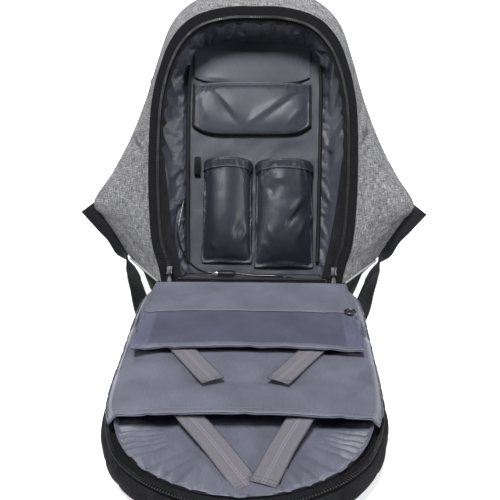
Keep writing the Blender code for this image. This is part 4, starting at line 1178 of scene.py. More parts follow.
phone_left, phone_right = (edge * LINING_HALF_WIDTH for edge in PHONE_EDGES)
phone_grid, phone_side, phone_height = pouch(
    phone_left, phone_right, PHONE_LOW, PHONE_SLIT, PHONE_SWELL, "flat", rows=44, cols=90)
phone_fall = creases(phone_side, phone_height, PHONE_FOLDS)
phone_fall += 0.0005 * rumple(phone_side, phone_height, size=0.030, seed=41, tilt=0.5, spread=1.0)
phone_edge = np.clip((phone_side - phone_left) / 0.012, 0, 1)
phone_edge = phone_edge * np.clip((phone_right - phone_side) / 0.012, 0, 1)
phone_edge = phone_edge * np.clip((phone_height - PHONE_LOW) / 0.008, 0, 1)
phone_grid = push(phone_grid, -phone_fall * phone_edge)
phone_grid = settle(phone_grid, edge_pins(phone_grid), grow=0.012, bend=1.0, reach=0.0025)
phone_piece = cloth("phone_pocket_face", phone_grid, pocket_satin, POCKET_WALL)
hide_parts("phone_pocket")
edge_line = np.concatenate((phone_grid[::-1, 0], phone_grid[0, 1:-1], phone_grid[:, -1]))
edge_line = edge_line + toward_viewer * EDGING_LIFT
phone_edging = cord_curve("phone_pocket_edging", edge_line[::2], EDGING_RADIUS, binding_cloth)
slit_seam = phone_grid[-3, SLIT_COLUMNS] + toward_viewer * SEAM_LIFT
stitch_line("phone_slit_stitches", slit_seam, toward_viewer, HEM_STITCH, thread_finish)

band_grid, band_side, band_height = pouch(
    phone_left, phone_right, PHONE_SLIT + ZIP_GAP, PHONE_HIGH, CLEARANCE, "flat", rows=30, cols=120)
band_fall = 0.00015 * np.sin(2 * math.pi * band_side / 0.0115 + 1.5 * np.sin(band_side / 0.017))
band_fall = band_fall * np.clip((band_height - PLEATS_FROM) / PLEATS_OVER, 0, 1)
band_fall += creases(band_side, band_height, PHONE_BAND_FOLDS)
band_grid = push(band_grid, np.abs(band_fall))
band_piece = cloth("phone_pocket_band_face", band_grid, pocket_satin, POCKET_WALL)
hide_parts("phone_pocket_band")
slit_run = shell_point(
    np.linspace(phone_left + 0.018, phone_right - 0.012, 50),
    PHONE_SLIT + ZIP_GAP / 2,
    lining_depth(PHONE_SLIT) - SLIT_LIFT,
)
slit_cord = cord_curve("phone_slit_binding", slit_run, SLIT_RADIUS, binding_cloth)

# Two tall elastic pockets.
# Dark satin sleeves sewn to the back at both sides and at the foot. Elastic gathers their
# top edge, and each long edge has a row of pale thread.
TALL_LOW = 0.066
TALL_HIGH = 0.212
TALL_SWELL = 0.030
POCKET_STITCH = (0.0028, 0.0012, 0.0005)
EDGE_STITCH = (0.0016, 0.0012, 0.0009)
PALE_THREAD = (0.13, 0.13, 0.15)
TALL_HEM_LIFT = 0.0009
TALL_HEM_WALL = 0.0008
TALL_GRID_ROWS = 84
TALL_COLS = 76
# Columns: both sides as shares of LINING_HALF_WIDTH, foot, top edge and swell in metres, and
# the seed of the small folds.
TALL_ROWS = {
    "left": (-0.740, -0.016, TALL_LOW, TALL_HIGH, TALL_SWELL, 55),
    "right": (0.030, 0.880, TALL_LOW - 0.006, TALL_HIGH - 0.002, TALL_SWELL * 1.1, 56),
}
# Columns: side and height at both ends, half width and depth, in metres.
TALL_FOLDS = {
    "left": (
        (-0.006, 0.118, -0.020, 0.086, 0.0035, -0.0035),
        (-0.012, 0.128, -0.026, 0.092, 0.0040, 0.0030),
        (-0.060, 0.096, -0.050, 0.080, 0.0040, -0.0020),
        (-0.066, 0.200, -0.040, 0.190, 0.0060, 0.0012),
    ),
    "right": (
        (0.016, 0.186, 0.052, 0.176, 0.0050, -0.0030),
        (0.080, 0.170, 0.046, 0.118, 0.0050, -0.0045),
        (0.076, 0.148, 0.040, 0.104, 0.0045, 0.0040),
        (0.082, 0.138, 0.058, 0.090, 0.0045, -0.0040),
        (0.016, 0.120, 0.034, 0.088, 0.0045, -0.0030),
        (0.020, 0.178, 0.030, 0.150, 0.0050, 0.0025),
        (0.012, 0.100, 0.026, 0.076, 0.0035, -0.0028),
        (0.066, 0.190, 0.080, 0.184, 0.0040, 0.0018),
    ),
}
tall_satin = satin("tall pocket satin", SLATE_DARK, 5.0)
pale_thread = twisted_thread("pale thread", PALE_THREAD)
for label, (left, right, low, high, swell, seed) in TALL_ROWS.items():
    tall_grid, tall_side, tall_height = pouch(
        left * LINING_HALF_WIDTH, right * LINING_HALF_WIDTH, low, high, swell, "round",
        rows=TALL_GRID_ROWS, cols=TALL_COLS)
    tall_hold = np.sin(np.linspace(0, math.pi, TALL_COLS))[None, :] ** 0.5
    tall_hold = tall_hold * np.clip((tall_height - low) / 0.010, 0, 1)
    tall_hold = tall_hold * np.clip((high - tall_height) / 0.008, 0, 1)
    tall_fall = creases(tall_side, tall_height, TALL_FOLDS[label])
    tall_fall += 0.0006 * rumple(
        tall_side, tall_height, size=0.034, seed=seed, tilt=0.4, spread=1.0)
    tall_grid = push(tall_grid, -tall_fall * tall_hold)
    tall_grid = settle(tall_grid, edge_pins(tall_grid), grow=0.02, bend=0.8, reach=0.004)
    tall_piece = cloth("tall_sleeve_" + label, tall_grid, tall_satin, POCKET_WALL)
    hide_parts("tall_pocket_" + label)
    hem_grid = push(tall_grid[-9:-1, 2:-2], TALL_HEM_LIFT)
    hem = cloth("tall_hem_" + label, hem_grid, tall_satin, TALL_HEM_WALL)
    hem_seam = push(hem_grid, 0.0002)[1]
    stitch_line("tall_hem_stitches_" + label, hem_seam, toward_viewer, POCKET_STITCH, thread_finish)
    for edge, column in (("inner", 3), ("outer", -4)):
        stitch_line("tall_stitches_%s_%s" % (label, edge), tall_grid[3:-10, column], toward_viewer,
                    EDGE_STITCH, pale_thread)

# Pen loop beside the left tall pocket.
# A short length of black elastic, sewn down at both ends so that it stands out as a loop.
LOOP_PLACE = -0.84
LOOP_RISE = 0.207
LOOP_LENGTH = 0.028
LOOP_REACH = 0.009
LOOP_WIDTH = 0.008
BAND_THICKNESS = 0.0015
STRAP_POINTS = 13


def strap(name, centres, sides, width, thickness, finish, bow=0.0):
    """A flat strap: cloth carried along its centres, wide along the side vectors.

    Its middle is raised by bow * (1 - q^2), where q runs from -1 to 1 across it, on the side
    that looks up halfway along.
    """
    centres = np.asarray(centres, float)
    sides = np.array(np.broadcast_to(sides, centres.shape), float)
    ways = unit(np.gradient(centres, axis=0))
    sides = unit(sides - ways * np.sum(sides * ways, axis=1, keepdims=True))
    ups = np.cross(ways, sides)
    ups *= np.sign(ups[len(ups) // 2, 2]) or 1.0
    q = np.linspace(-1, 1, STRAP_POINTS)[None, :, None]
    grid = centres[:, None] + sides[:, None] * q * width / 2 + ups[:, None] * bow * (1 - q ** 2)
    return cloth(name, grid, finish, thickness, offset=0.0)


elastic_black = Finish("black elastic", CLOTH_BLACK, roughness=0.7, sheen=0.03, gloss=0.2)
elastic_ribs = elastic_black.wave(elastic_black.place(), "Y", scale=420.0)
elastic_black.bump(elastic_ribs, distance=0.0005, strength=0.7)
loop_turn = np.linspace(0.12, math.pi - 0.12, 28)
loop_height = LOOP_RISE - LOOP_LENGTH / 2 * np.cos(loop_turn)
loop_run = shell_point(
    LOOP_PLACE * LINING_HALF_WIDTH, loop_height, lining_depth(loop_height) - LOOP_REACH * np.sin(loop_turn))
pen_loop = strap("pen_holder", loop_run, (1.0, 0.0, 0.0), LOOP_WIDTH, BAND_THICKNESS, elastic_black)
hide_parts("pen_loop")

# Hinge between shell and back panel.
# A black cloth strip closes the gap between the floor of the shell and the panel, and a
# round binding runs along its top edge.
HINGE_CLOTH = 0.0012
HINGE_LIP = 0.010
HINGE_SHARE = 0.68
BINDING_RADIUS = 0.0022
# Columns: how far the strip goes back and up from the hinge, as shares of the way from the
# hinge to the front edge of the shell's floor.
HINGE_ROWS = (
    (0.00, -0.60),
    (0.00, 0.30),
    (0.10, 0.60),
    (0.45, 0.82),
    (1.25, 1.42),
)
hinge_half = HINGE_SHARE * RIM_HALF_WIDTH
hinge_near = HINGE_Y - CLEARANCE - HINGE_CLOTH
hinge_lift = FLOOR_FRONT_RISE * math.cos(LEAN)
hinge_push = FLOOR_FRONT_RISE * math.sin(LEAN)
hinge_profile = spline(HINGE_ROWS, steps=6) * (hinge_push, hinge_lift) + (hinge_near, HINGE_Z)
hinge_side = np.linspace(-hinge_half, hinge_half, 90)[None, :]
hinge_grid = stacked(hinge_side, hinge_profile[:, [0]], hinge_profile[:, [1]])
hinge_piece = cloth("hinge_strip", hinge_grid, black_cloth, HINGE_CLOTH)
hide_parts("hinge_cloth")
binding_wave = 0.0006 * rumple(hinge_side[0], 0.0, size=0.05, seed=61, tilt=math.pi / 2, spread=0.2)
binding_rise = FLOOR_FRONT_RISE + HINGE_LIP + binding_wave
binding_run = shell_point(hinge_side[0], binding_rise, -BINDING_RADIUS)
hinge_cord = cord_curve("hinge_edge_binding", binding_run, BINDING_RADIUS, binding_cloth)
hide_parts("hinge_binding")

# Padded back panel.
# A black padded back with a rounded edge. A zip tape with its nylon coil is sewn round its
# upper edge, and meets the one on the shell when the bag is closed.
PANEL_LENGTH = 0.410
PANEL_HALF_WIDTH = 0.146
STRAP_THICKNESS = 0.012
PAD_THICKNESS = 0.024
PANEL_START = HINGE_Y - HINGE_CLOTH - 2 * CLEARANCE
PAD_BOTTOM = STRAP_THICKNESS + CLEARANCE
PAD_TOP = PAD_BOTTOM + PAD_THICKNESS
PAD_EDGE = 0.012
WIDEST_RING = 20
PANEL_TAPE_INSETS = (0.018, 0.003)
PANEL_COIL_INSET = 0.0048
PADDING_BLACK = (0.012, 0.012, 0.014)
# Columns: distance from the hinge as a share of PANEL_LENGTH, side as one of the half width.
PANEL_ROWS = (
    (0.000, 0.925),
    (0.040, 0.978),
    (0.180, 1.000),
    (0.450, 0.995),
    (0.620, 0.985),
    (0.720, 0.945),
    (0.830, 0.835),
    (0.910, 0.655),
    (0.965, 0.420),
    (0.992, 0.200),
    (1.000, 0.000),
)
# Columns: height as a share of PAD_THICKNESS, how far the outline is drawn in, in metres.
PAD_ROWS = (
    (0.02, 0.0600),
    (0.01, 0.0300),
    (0.00, 0.0120),
    (0.08, 0.0050),
    (0.24, 0.0012),
    (0.45, 0.0000),
    (0.68, 0.0004),
    (0.86, 0.0022),
    (0.97, 0.0060),
    (0.99, 0.0120),
    (0.98, 0.0300),
    (0.96, 0.0600),
)

panel_outline = spline(both_sides(PANEL_ROWS, (1,)), steps=9) * (PANEL_LENGTH, PANEL_HALF_WIDTH)
panel_right = panel_outline[: len(panel_outline) // 2 + 1]


def panel_half(along, inset):
    """Half width of the panel at a distance from the hinge, with the outline drawn in."""
    share = (PANEL_LENGTH - inset) / PANEL_LENGTH
    half = np.interp(np.asarray(along) / share, panel_right[:, 0], panel_right[:, 1])
    return half * (PANEL_HALF_WIDTH - inset) / PANEL_HALF_WIDTH


def panel_ring(z, inset):
    """The panel's outline as one ring of points at height z, drawn in by the inset."""
    along = inset + panel_outline[:, 0] * (PANEL_LENGTH - 2 * inset) / PANEL_LENGTH
    side = panel_outline[:, 1] * (PANEL_HALF_WIDTH - inset) / PANEL_HALF_WIDTH
    return stacked(side, PANEL_START - along, z)


padding = Finish("black padding", PADDING_BLACK, roughness=0.82, sheen=0.02, gloss=0.08)
padding_mesh = padding.wave(padding.place(source="Object"), "X", scale=260.0)
padding_rows = padding.wave(padding.place(source="Object"), "Y", scale=260.0)
padding_cloud = padding.noise(padding.place(source="Object"), scale=60.0, detail=3.0)
padding.paint(padding.ramp(padding_cloud, (
    (0.30, shade(PADDING_BLACK, 0.7)),
    (0.75, shade(PADDING_BLACK, 1.6)),
)))
padding.bump(padding.math("MULTIPLY", padding_mesh, padding_rows), distance=0.0006, strength=0.7)

pad_profile = spline(PAD_ROWS, steps=4)
pad_rings = np.array([panel_ring(PAD_BOTTOM + rise * PAD_THICKNESS, inset) for rise, inset in pad_profile])
pad_run = walked(pad_rings[WIDEST_RING])
pad_rise = pad_profile[:, :1] * PAD_THICKNESS
pad_swell = 0.0010 * rumple(pad_run[None, :], pad_rise, size=0.040, seed=62, tilt=1.3, spread=0.5)
pad_rings = push(pad_rings, -np.abs(pad_swell) * np.clip(1 - pad_profile[:, 1:] / PAD_EDGE, 0, 1))
pad_pin = np.zeros(pad_rings.shape[:2])
pad_pin[:, [0, -1]] = 1
pad_pin[pad_profile[:, 1] > PAD_EDGE] = 1
pad_rings = settle(pad_rings, pad_pin, grow=0.020, bend=2.0, reach=0.0012, weight=0.0)
pad_piece = sleeve("back_padding", pad_rings, padding)
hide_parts("back_pad")

panel_tape_rings = np.array([
    panel_ring(PAD_TOP + CLEARANCE + TAPE_THICKNESS, inset)
    for inset in np.linspace(*PANEL_TAPE_INSETS, 7)
])
panel_tape = cloth("panel_tape", panel_tape_rings, tape_cloth, TAPE_THICKNESS)
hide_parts("panel_zip_tape")
coil_ring = panel_ring(PAD_TOP + 2 * CLEARANCE + TAPE_THICKNESS + 0.0005, PANEL_COIL_INSET)[8:-8]
coil_run = walked(coil_ring)
coil_places = np.arange(TOOTH_PITCH, coil_run[-1], TOOTH_PITCH)
coil_middle = read_along(coil_places, coil_run, coil_ring)
coil_way = np.cross(unit(np.gradient(coil_middle, axis=0)), upward)
panel_teeth = bars(
    "panel_zip_teeth", coil_middle, coil_way, upward, TOOTH_SIZE, nylon, bevel=TOOTH_EDGE)

# Lining tray of the back panel.
# The satin under the two pockets: a floor sewn to the pad and a low wall on both sides. The
# loose cloth gathers into folds along the curved near end.
PANEL_ROOM = 0.017
PANEL_INSET = 0.016
TRAY_FLOOR = PAD_TOP + TAPE_THICKNESS + 2 * CLEARANCE
LAPTOP_SHEET = TRAY_FLOOR + LINING_WALL + PANEL_ROOM
PANEL_TRAY_START = 0.002
# The gathers run out from a point on the middle line, at this distance from the hinge.
GATHER_HEART = 0.270
GATHERS = 26.0
GATHER_HEIGHT = 0.0048
PANEL_SLATE = (0.114, 0.120, 0.156)
# Columns: distance from the hinge and height of the side wall, as shares of the whole.
TRAY_WALL_ROWS = (
    (0.00, 1.00),
    (0.55, 1.00),
    (0.74, 0.62),
    (0.90, 0.20),
    (1.00, 0.12),
)
wall_table = np.array(TRAY_WALL_ROWS)
tray_share = np.concatenate((np.linspace(0.0, 0.60, 50), np.linspace(0.603, 0.966, 170)))[:, None]
tray_along = tray_share * PANEL_LENGTH
tray_half = panel_half(tray_along, PANEL_INSET)
tray_room = LAPTOP_SHEET - TRAY_FLOOR - LINING_WALL - 2 * CLEARANCE
tray_high = tray_room * np.interp(tray_share, wall_table[:, 0], wall_table[:, 1])
tray_up = np.concatenate((np.linspace(1, 0, 12)[:-1], np.zeros(120), np.linspace(0, 1, 12)[1:]))
tray_across = np.concatenate((-np.ones(11), np.linspace(-1, 1, 120), np.ones(11)))
tray_lean = np.sign(tray_across) * 0.30 * PANEL_INSET * np.sin(tray_up * math.pi / 2)
tray_z = TRAY_FLOOR + LINING_WALL + tray_high * tray_up
flat_side = tray_half * tray_across
tray_side = flat_side + tray_lean
wide_folds = np.abs(rumple(flat_side, tray_along, size=0.036, seed=71, tilt=1.4, spread=0.5))
fine_folds = np.abs(rumple(flat_side, tray_along, size=0.016, seed=72, tilt=1.5, spread=0.3))
tray_fold = 0.0016 * wide_folds + 0.0012 * fine_folds * np.clip((tray_share - 0.80) / 0.08, 0, 1)
tray_fold = tray_fold * (1 - tray_up) * np.clip(tray_share / 0.05, 0, 1)
outline_turn = np.arctan2(panel_outline[:, 1], panel_outline[:, 0] - GATHER_HEART)
outline_reach = np.hypot(panel_outline[:, 1], panel_outline[:, 0] - GATHER_HEART)
tray_far = tray_along - GATHER_HEART
tray_turn = np.arctan2(flat_side, tray_far)
turn_order = np.argsort(outline_turn)
tray_reach = np.hypot(flat_side, tray_far) / np.interp(
    tray_turn, outline_turn[turn_order], outline_reach[turn_order])
uneven = 1.6 * np.sin(5.3 * tray_turn) + 0.8 * np.sin(11.7 * tray_turn)
gathers = np.abs(np.sin(GATHERS * tray_turn + uneven))
gathers = gathers * np.clip((tray_reach - 0.60) / 0.20, 0, 1) * np.clip((1 - tray_reach) / 0.06, 0.3, 1)
gathers = gathers * np.clip(tray_far / 0.03, 0, 1)
gathers = gathers * np.clip((np.abs(flat_side) - 0.020) / 0.018, 0.1, 1)
tray_fold += GATHER_HEIGHT * gathers * (1 - tray_up)
tray_y = PANEL_START - PANEL_TRAY_START - tray_along
tray_grid = stacked(tray_side, tray_y, tray_z + tray_fold)[::-1]
panel_satin = satin("panel satin", PANEL_SLATE, 7.0)
tray_piece = cloth("panel_tray", tray_grid, panel_satin, LINING_WALL)
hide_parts("panel_lining")
tray_edge = panel_ring(TRAY_FLOOR + 0.0010, PANEL_INSET - 0.0010)[6:-6]
tray_binding = cord_curve("panel_lining_binding", tray_edge, EDGING_RADIUS, binding_cloth)

# Laptop and tablet pockets on the panel.
# Two satin sheets, one above the other, with rolled hems at their mouths. The upper one has
# a paler band next to the hinge and low side walls that join it to the sheet beneath.
TABLET_ROOM = 0.0065
TABLET_SHEET = LAPTOP_SHEET + LINING_WALL + TABLET_ROOM
LAPTOP_MOUTH = 0.727 * PANEL_LENGTH
TABLET_MOUTH = 0.432 * PANEL_LENGTH
TABLET_HALF_WIDTH = 0.127
LAPTOP_INSET = 0.005
LAPTOP_SHOULDER = 0.008
HEM_SEED = 89
HEM_WIDTH = 0.008
MOUTH_BOW = 0.008
LAPTOP_CROWN = 0.002
TABLET_CROWN = 0.002
BAND_LENGTH = 0.084
SHEET_ROWS = 110
SHEET_COLS = 120
# Columns of the mouth's edge that are tacked down while the cloth settles.
MOUTH_TACKS = (0, 1, 2, 14, 30, 60, 90, 106, -3, -2, -1)
TABLET_SLATE = (0.066, 0.070, 0.106)
# Columns: side and distance from the hinge at both ends, half width and depth, in metres.
LAPTOP_FOLDS = (
    (-0.136, 0.060, -0.128, 0.130, 0.0050, 0.0050),
    (-0.141, 0.110, -0.118, 0.150, 0.0050, -0.0040),
    (-0.140, 0.150, -0.110, 0.205, 0.0070, 0.0034),
    (-0.136, 0.225, -0.085, 0.275, 0.0080, -0.0030),
    (0.140, 0.080, 0.128, 0.150, 0.0050, 0.0050),
    (0.141, 0.120, 0.120, 0.172, 0.0050, -0.0040),
    (0.138, 0.190, 0.100, 0.240, 0.0070, 0.0034),
    (0.134, 0.235, 0.096, 0.285, 0.0070, -0.0032),
    (0.020, 0.225, 0.110, 0.262, 0.0120, -0.0010),
    (-0.110, 0.236, 0.110, 0.232, 0.0110, 0.0036),
    (-0.100, 0.262, 0.030, 0.268, 0.0120, -0.0026),
    (-0.020, 0.240, 0.012, 0.290, 0.0090, 0.0018),
)
TABLET_FOLDS = (
    (-0.126, 0.120, -0.106, 0.160, 0.0045, -0.0016),
    (0.126, 0.126, 0.108, 0.162, 0.0045, -0.0016),
    (-0.060, 0.160, -0.020, 0.172, 0.0060, -0.0008),
    (-0.1185, 0.086, -0.1170, 0.172, 0.0034, 0.0024),
    (0.1185, 0.086, 0.1170, 0.172, 0.0034, 0.0024),
    (-0.1120, 0.092, -0.1100, 0.140, 0.0026, -0.0014),
    (0.1120, 0.100, 0.1100, 0.160, 0.0026, -0.0014),
)


def sheet_height(base, crown, mouth, along, q):
    """Height of a pocket sheet: its base and a crown of 1 - q^6 that grows to its mouth."""
    return base + crown * (1 - q ** 6) * (0.4 + 0.6 * np.minimum(1.0, along / mouth))


def pocket_sheet(mouth, half_at, base, crown, shoulder):
    """Grid of a pocket sheet from the hinge to its mouth, which is bowed to the viewer at both
    ends.

    Past 94% of its half width it turns down by the shoulder, as the square of the way out.
    """
    straight = np.linspace(PANEL_TRAY_START, mouth, SHEET_ROWS)[:, None]
    q = np.sin(np.linspace(-math.pi / 2, math.pi / 2, SHEET_COLS))[None, :]
    along = straight * (1 + MOUTH_BOW * q * q / mouth)
    z = sheet_height(base, crown, mouth, straight, q)
    z = z - shoulder * np.clip((np.abs(q) - 0.94) / 0.06, 0, 1) ** 2
    side = half_at(along) * q
    return stacked(side, PANEL_START - along, z), side, along


def laptop_half(along):
    """Half width of the laptop pocket: the panel's own, drawn in a little."""
    return panel_half(along, LAPTOP_INSET)


def tablet_half(along):
    """Half width of the tablet pocket, read from a few shares of its length."""
    share = along / TABLET_MOUTH
    return TABLET_HALF_WIDTH * np.interp(share, (0, 0.3, 1, 1.2), (0.975, 0.99, 1, 1))


tablet_satin = satin("tablet satin", TABLET_SLATE, 9.0)
tablet_yarn = tablet_satin.shader.inputs["Base Color"].links[0].from_socket
tablet_place = tablet_satin.nodes.new("ShaderNodeSeparateXYZ")
tablet_satin.links.new(tablet_satin.place((8.0, 1.0, 1.0), "Object"), tablet_place.inputs["Vector"])
tablet_edges = tablet_satin.ramp(tablet_satin.math("ABSOLUTE", tablet_place.outputs["X"]), (
    (0.875, (1.0,) * 3),
    (0.895, (1.42,) * 3),
))
tablet_satin.paint(tablet_satin.mix(1.0, tablet_yarn, tablet_edges, "MULTIPLY"))
for label, mouth, half_at, base, crown, table, seed, finish, shoulder, under in (
    ("laptop", LAPTOP_MOUTH, laptop_half, LAPTOP_SHEET + LINING_WALL, LAPTOP_CROWN, LAPTOP_FOLDS,
     93, panel_satin, LAPTOP_SHOULDER, "panel_tray"),
    ("tablet", TABLET_MOUTH, tablet_half, TABLET_SHEET + LINING_WALL, TABLET_CROWN, TABLET_FOLDS,
     88, tablet_satin, 0.0, "laptop_sheet"),
):
    sheet_grid, sheet_side, sheet_along = pocket_sheet(mouth, half_at, base, crown, shoulder)
    sheet_fall = creases(sheet_side, sheet_along, table)
    sheet_fall += 0.0013 * rumple(
        sheet_side, sheet_along, size=0.052, seed=seed, tilt=1.4, spread=0.8)
    sheet_hold = np.clip(sheet_along / 0.012, 0, 1)
    rise = -sheet_fall * sheet_hold
    if label == "laptop":
        over_tablet = (np.abs(sheet_side) < TABLET_HALF_WIDTH + 0.002) & (sheet_along < TABLET_MOUTH + 0.004)
        rise = np.where(over_tablet, np.minimum(rise, 0.0010), rise)
    sheet_grid[..., 2] += rise
    sheet_pin = np.zeros(sheet_grid.shape[:2])
    sheet_pin[0] = 1
    sheet_pin[:, [0, -1]] = 1
    sheet_pin[-1, MOUTH_TACKS] = 1
    sheet_grid = settle(sheet_grid, sheet_pin, grow=0.006, bend=0.8, reach=0.0016, weight=0.1)
    sheet_piece = cloth(label + "_sheet", sheet_grid[::-1], finish, LINING_WALL)
    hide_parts(label + "_pocket")
    cut_size(sheet_grid)
    hem_span = np.linspace(0, 1, 9)[:, None, None]
    hem_low = sheet_grid[-1 - int(round(HEM_WIDTH / mouth * (SHEET_ROWS - 1)))]
    hem_high = sheet_grid[-1]
    hem_grid = hem_low + (hem_high - hem_low) * hem_span
    hem_grid[..., 2] += CLEARANCE + LINING_WALL + 0.0009 * np.sin(math.pi * hem_span[..., 0])
    hem_x, hem_y, hem_z = hem_grid.transpose(2, 0, 1)
    hem_z += 0.0005 * rumple(hem_x, hem_y, size=0.020, seed=HEM_SEED, tilt=1.5, spread=0.3)
    hem_piece = cloth(label + "_hem", hem_grid[::-1], panel_satin, LINING_WALL)
    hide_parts(label + "_pocket_hem")
    stitch_line(label + "_hem_stitches", hem_grid[1, 2:-2] + upward * 0.0001, upward,
                HEM_STITCH, thread_finish)
    if label == "tablet":
        band_rows = int(round(BAND_LENGTH / mouth * (SHEET_ROWS - 1)))
        strip_grid = sheet_grid[: band_rows + 1] + upward * (LINING_WALL + 0.0002)
        strip_piece = cloth("hinge_side_band", strip_grid[::-1], panel_satin, LINING_WALL)
        stitch_line("hinge_side_band_stitches", strip_grid[-3, 3:-3] + upward * 0.0001, upward,
                    HEM_STITCH, thread_finish)

gusset_along_run = np.linspace(PANEL_TRAY_START + 0.002, TABLET_MOUTH * 0.985, 100)[None, :]
gusset_up = np.linspace(0, 1, 12)[:, None]
gusset_x = tablet_half(gusset_along_run) - 0.0015 * gusset_up
gusset_low = sheet_height(LAPTOP_SHEET + LINING_WALL, LAPTOP_CROWN, LAPTOP_MOUTH, gusset_along_run,
                          gusset_x / laptop_half(gusset_along_run)) + CLEARANCE
gusset_high = TABLET_SHEET - CLEARANCE
gusset_bow = 0.0010 * rumple(
    gusset_along_run, gusset_up * TABLET_ROOM, size=0.016, seed=84, tilt=math.pi / 2, spread=0.4)
for hand, label in HANDS:
    side_x = hand * (gusset_x + gusset_bow * np.sin(math.pi * gusset_up))
    side_z = gusset_low + (gusset_high - gusset_low) * gusset_up
    side_grid = stacked(side_x, PANEL_START - gusset_along_run, side_z)
    side_grid = side_grid if hand < 0 else side_grid[::-1]
    side_piece = cloth("tablet_side_" + label, side_grid, tablet_satin, LINING_WALL)
    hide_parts("tablet_pocket_side_" + label)

# Eyelet in the right side of the panel.
# A small black rolled eyelet, pressed through the satin as an outlet for a lead.
EYELET_PLACE = (0.1215, 0.086)
EYELET_SIDES = 40
# Columns: distance from the middle and height over the cloth, in metres.
EYELET_ROWS = (
    (0.0005, 0.0002),
    (0.0044, 0.0002),
    (0.0050, 0.0013),
    (0.0062, 0.0021),
    (0.0074, 0.0013),
    (0.0079, 0.0000),
    (0.0078, -0.0040),
    (0.0005, -0.0040),
)
eyelet_turn = np.linspace(0, 2 * math.pi, EYELET_SIDES, endpoint=False)
eyelet_rings = [
    stacked(
        EYELET_PLACE[0] + reach * np.cos(eyelet_turn),
        PANEL_START - EYELET_PLACE[1] + reach * np.sin(eyelet_turn),
        TABLET_SHEET + 2 * LINING_WALL + rise,
    )
    for reach, rise in EYELET_ROWS
]
eyelet = sleeve("panel_eyelet", eyelet_rings, moulding)

# Grey elastic bands.
# Woven elastic with a pale middle line. Two long bands cross the tray and two short ones the
# larger pocket, each sewn under a pocket's mouth and to the cloth in front of it.
BAND_WIDTH = 0.025
BAND_SAG = 0.002
BAND_TUCK = 0.015
BAND_MIDDLE = 0.013
BAND_MEETING = 0.934 * PANEL_LENGTH
LAPTOP_BAND_OUT = 0.060
TABLET_BAND_OUT = 0.079
TABLET_BAND_END_OUT = 0.033
TABLET_BAND_REACH = 0.066
ELASTIC_GREY = (0.190, 0.183, 0.211)
BAND_STITCH = (0.0022, 0.0010, 0.0005)

elastic = Finish("grey elastic", ELASTIC_GREY, roughness=0.80, sheen=0.05, gloss=0.25)
elastic_across = elastic.nodes.new("ShaderNodeSeparateXYZ")
elastic.links.new(elastic.place(), elastic_across.inputs["Vector"])
elastic_middle = elastic.math("ABSOLUTE", elastic_across.outputs["X"])
elastic_line = elastic.ramp(elastic.math("MULTIPLY", elastic_middle, 80.0), (
    (0.00, shade(ELASTIC_GREY, 0.62)),
    (0.05, shade(ELASTIC_GREY, 1.32)),
    (0.12, shade(ELASTIC_GREY, 1.28)),
    (0.18, shade(ELASTIC_GREY, 0.92)),
    (0.84, shade(ELASTIC_GREY, 1.00)),
    (0.97, shade(ELASTIC_GREY, 0.74)),
))
elastic_weft = elastic.wave(elastic.place(), "Y", scale=330.0, distortion=0.6)
elastic_warp = elastic.wave(elastic.place(), "X", scale=250.0, distortion=0.4)
elastic_fuzz = elastic.noise(elastic.place((900.0, 350.0, 1.0)))
elastic_rows = elastic.ramp(elastic.math("MULTIPLY", elastic_weft, elastic_fuzz), (
    (0.05, (0.78,) * 3), (0.65, (1.15,) * 3)))
elastic.paint(elastic.mix(1.0, elastic_line, elastic_rows, "MULTIPLY"))
elastic.bump(elastic.math("ADD", elastic_weft, elastic_warp), distance=0.0005, strength=0.8)


def elastic_band(name, node, start, end, bend):
    """One band: a straight run that sags as sin and turns its edges down a little."""
    share = np.linspace(0, 1, 50)[:, None]
    centres = start + (end - start) * share
    centres[:, 2:] -= BAND_SAG * np.sin(math.pi * share)
    across = unit(np.cross(end - start, upward))
    centres = centres + across * bend * np.sin(math.pi * share) ** 2
    band = strap(name, centres, across, BAND_WIDTH, BAND_THICKNESS, elastic, bow=0.0006)
    for spot in (-4, -2):
        row = centres[spot] + across * np.linspace(-0.44, 0.44, 12)[:, None] * BAND_WIDTH
        stitch_line("%s_stitches_%d" % (name, -spot), row + upward * (BAND_THICKNESS / 2 + 0.0006), upward,
                    BAND_STITCH, pale_thread)
    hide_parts(node)


for hand, label in HANDS:
    band_start = np.array((hand * LAPTOP_BAND_OUT, PANEL_START - LAPTOP_MOUTH + BAND_TUCK,
                           LAPTOP_SHEET - BAND_THICKNESS))
    band_end_z = TRAY_FLOOR + LINING_WALL + CLEARANCE + BAND_THICKNESS * 0.6
    if hand > 0:
        band_end_z += BAND_THICKNESS + 2 * CLEARANCE
    band_end = np.array((BAND_MIDDLE + hand * BAND_WIDTH / 4, PANEL_START - BAND_MEETING, band_end_z))
    elastic_band("laptop_elastic_" + label, "laptop_band_" + label, band_start, band_end, 0.0020 * hand)
    band_start = np.array((hand * TABLET_BAND_OUT, PANEL_START - TABLET_MOUTH + BAND_TUCK,
                           TABLET_SHEET - BAND_THICKNESS))
    band_low = LAPTOP_SHEET + 2 * LINING_WALL + LAPTOP_CROWN + CLEARANCE + BAND_THICKNESS
    band_end = np.array((
        hand * TABLET_BAND_END_OUT, PANEL_START - TABLET_MOUTH - TABLET_BAND_REACH, band_low))
    elastic_band("tablet_elastic_" + label, "tablet_band_" + label, band_start, band_end, 0.0010 * hand)

# Shoulder straps, adjusters and lower webbing.
# Two padded straps lie under the panel. A ladder buckle joins each to a woven webbing that
# runs round the panel's corner and is sewn behind the wing of the shell.
WEBBING_WIDTH = 0.026
WEBBING_THICKNESS = 0.0016
STRAP_WIDTH = 0.062
ADJUSTER_LENGTH = 0.026
ADJUSTER_WIDTH = 0.034
ADJUSTER_THICKNESS = 0.0072
RAIL_WIDTH = 0.0040
RUNG_PLACES = (-0.42, 0.0, 0.42)
TWIST_DEPTH = 0.012
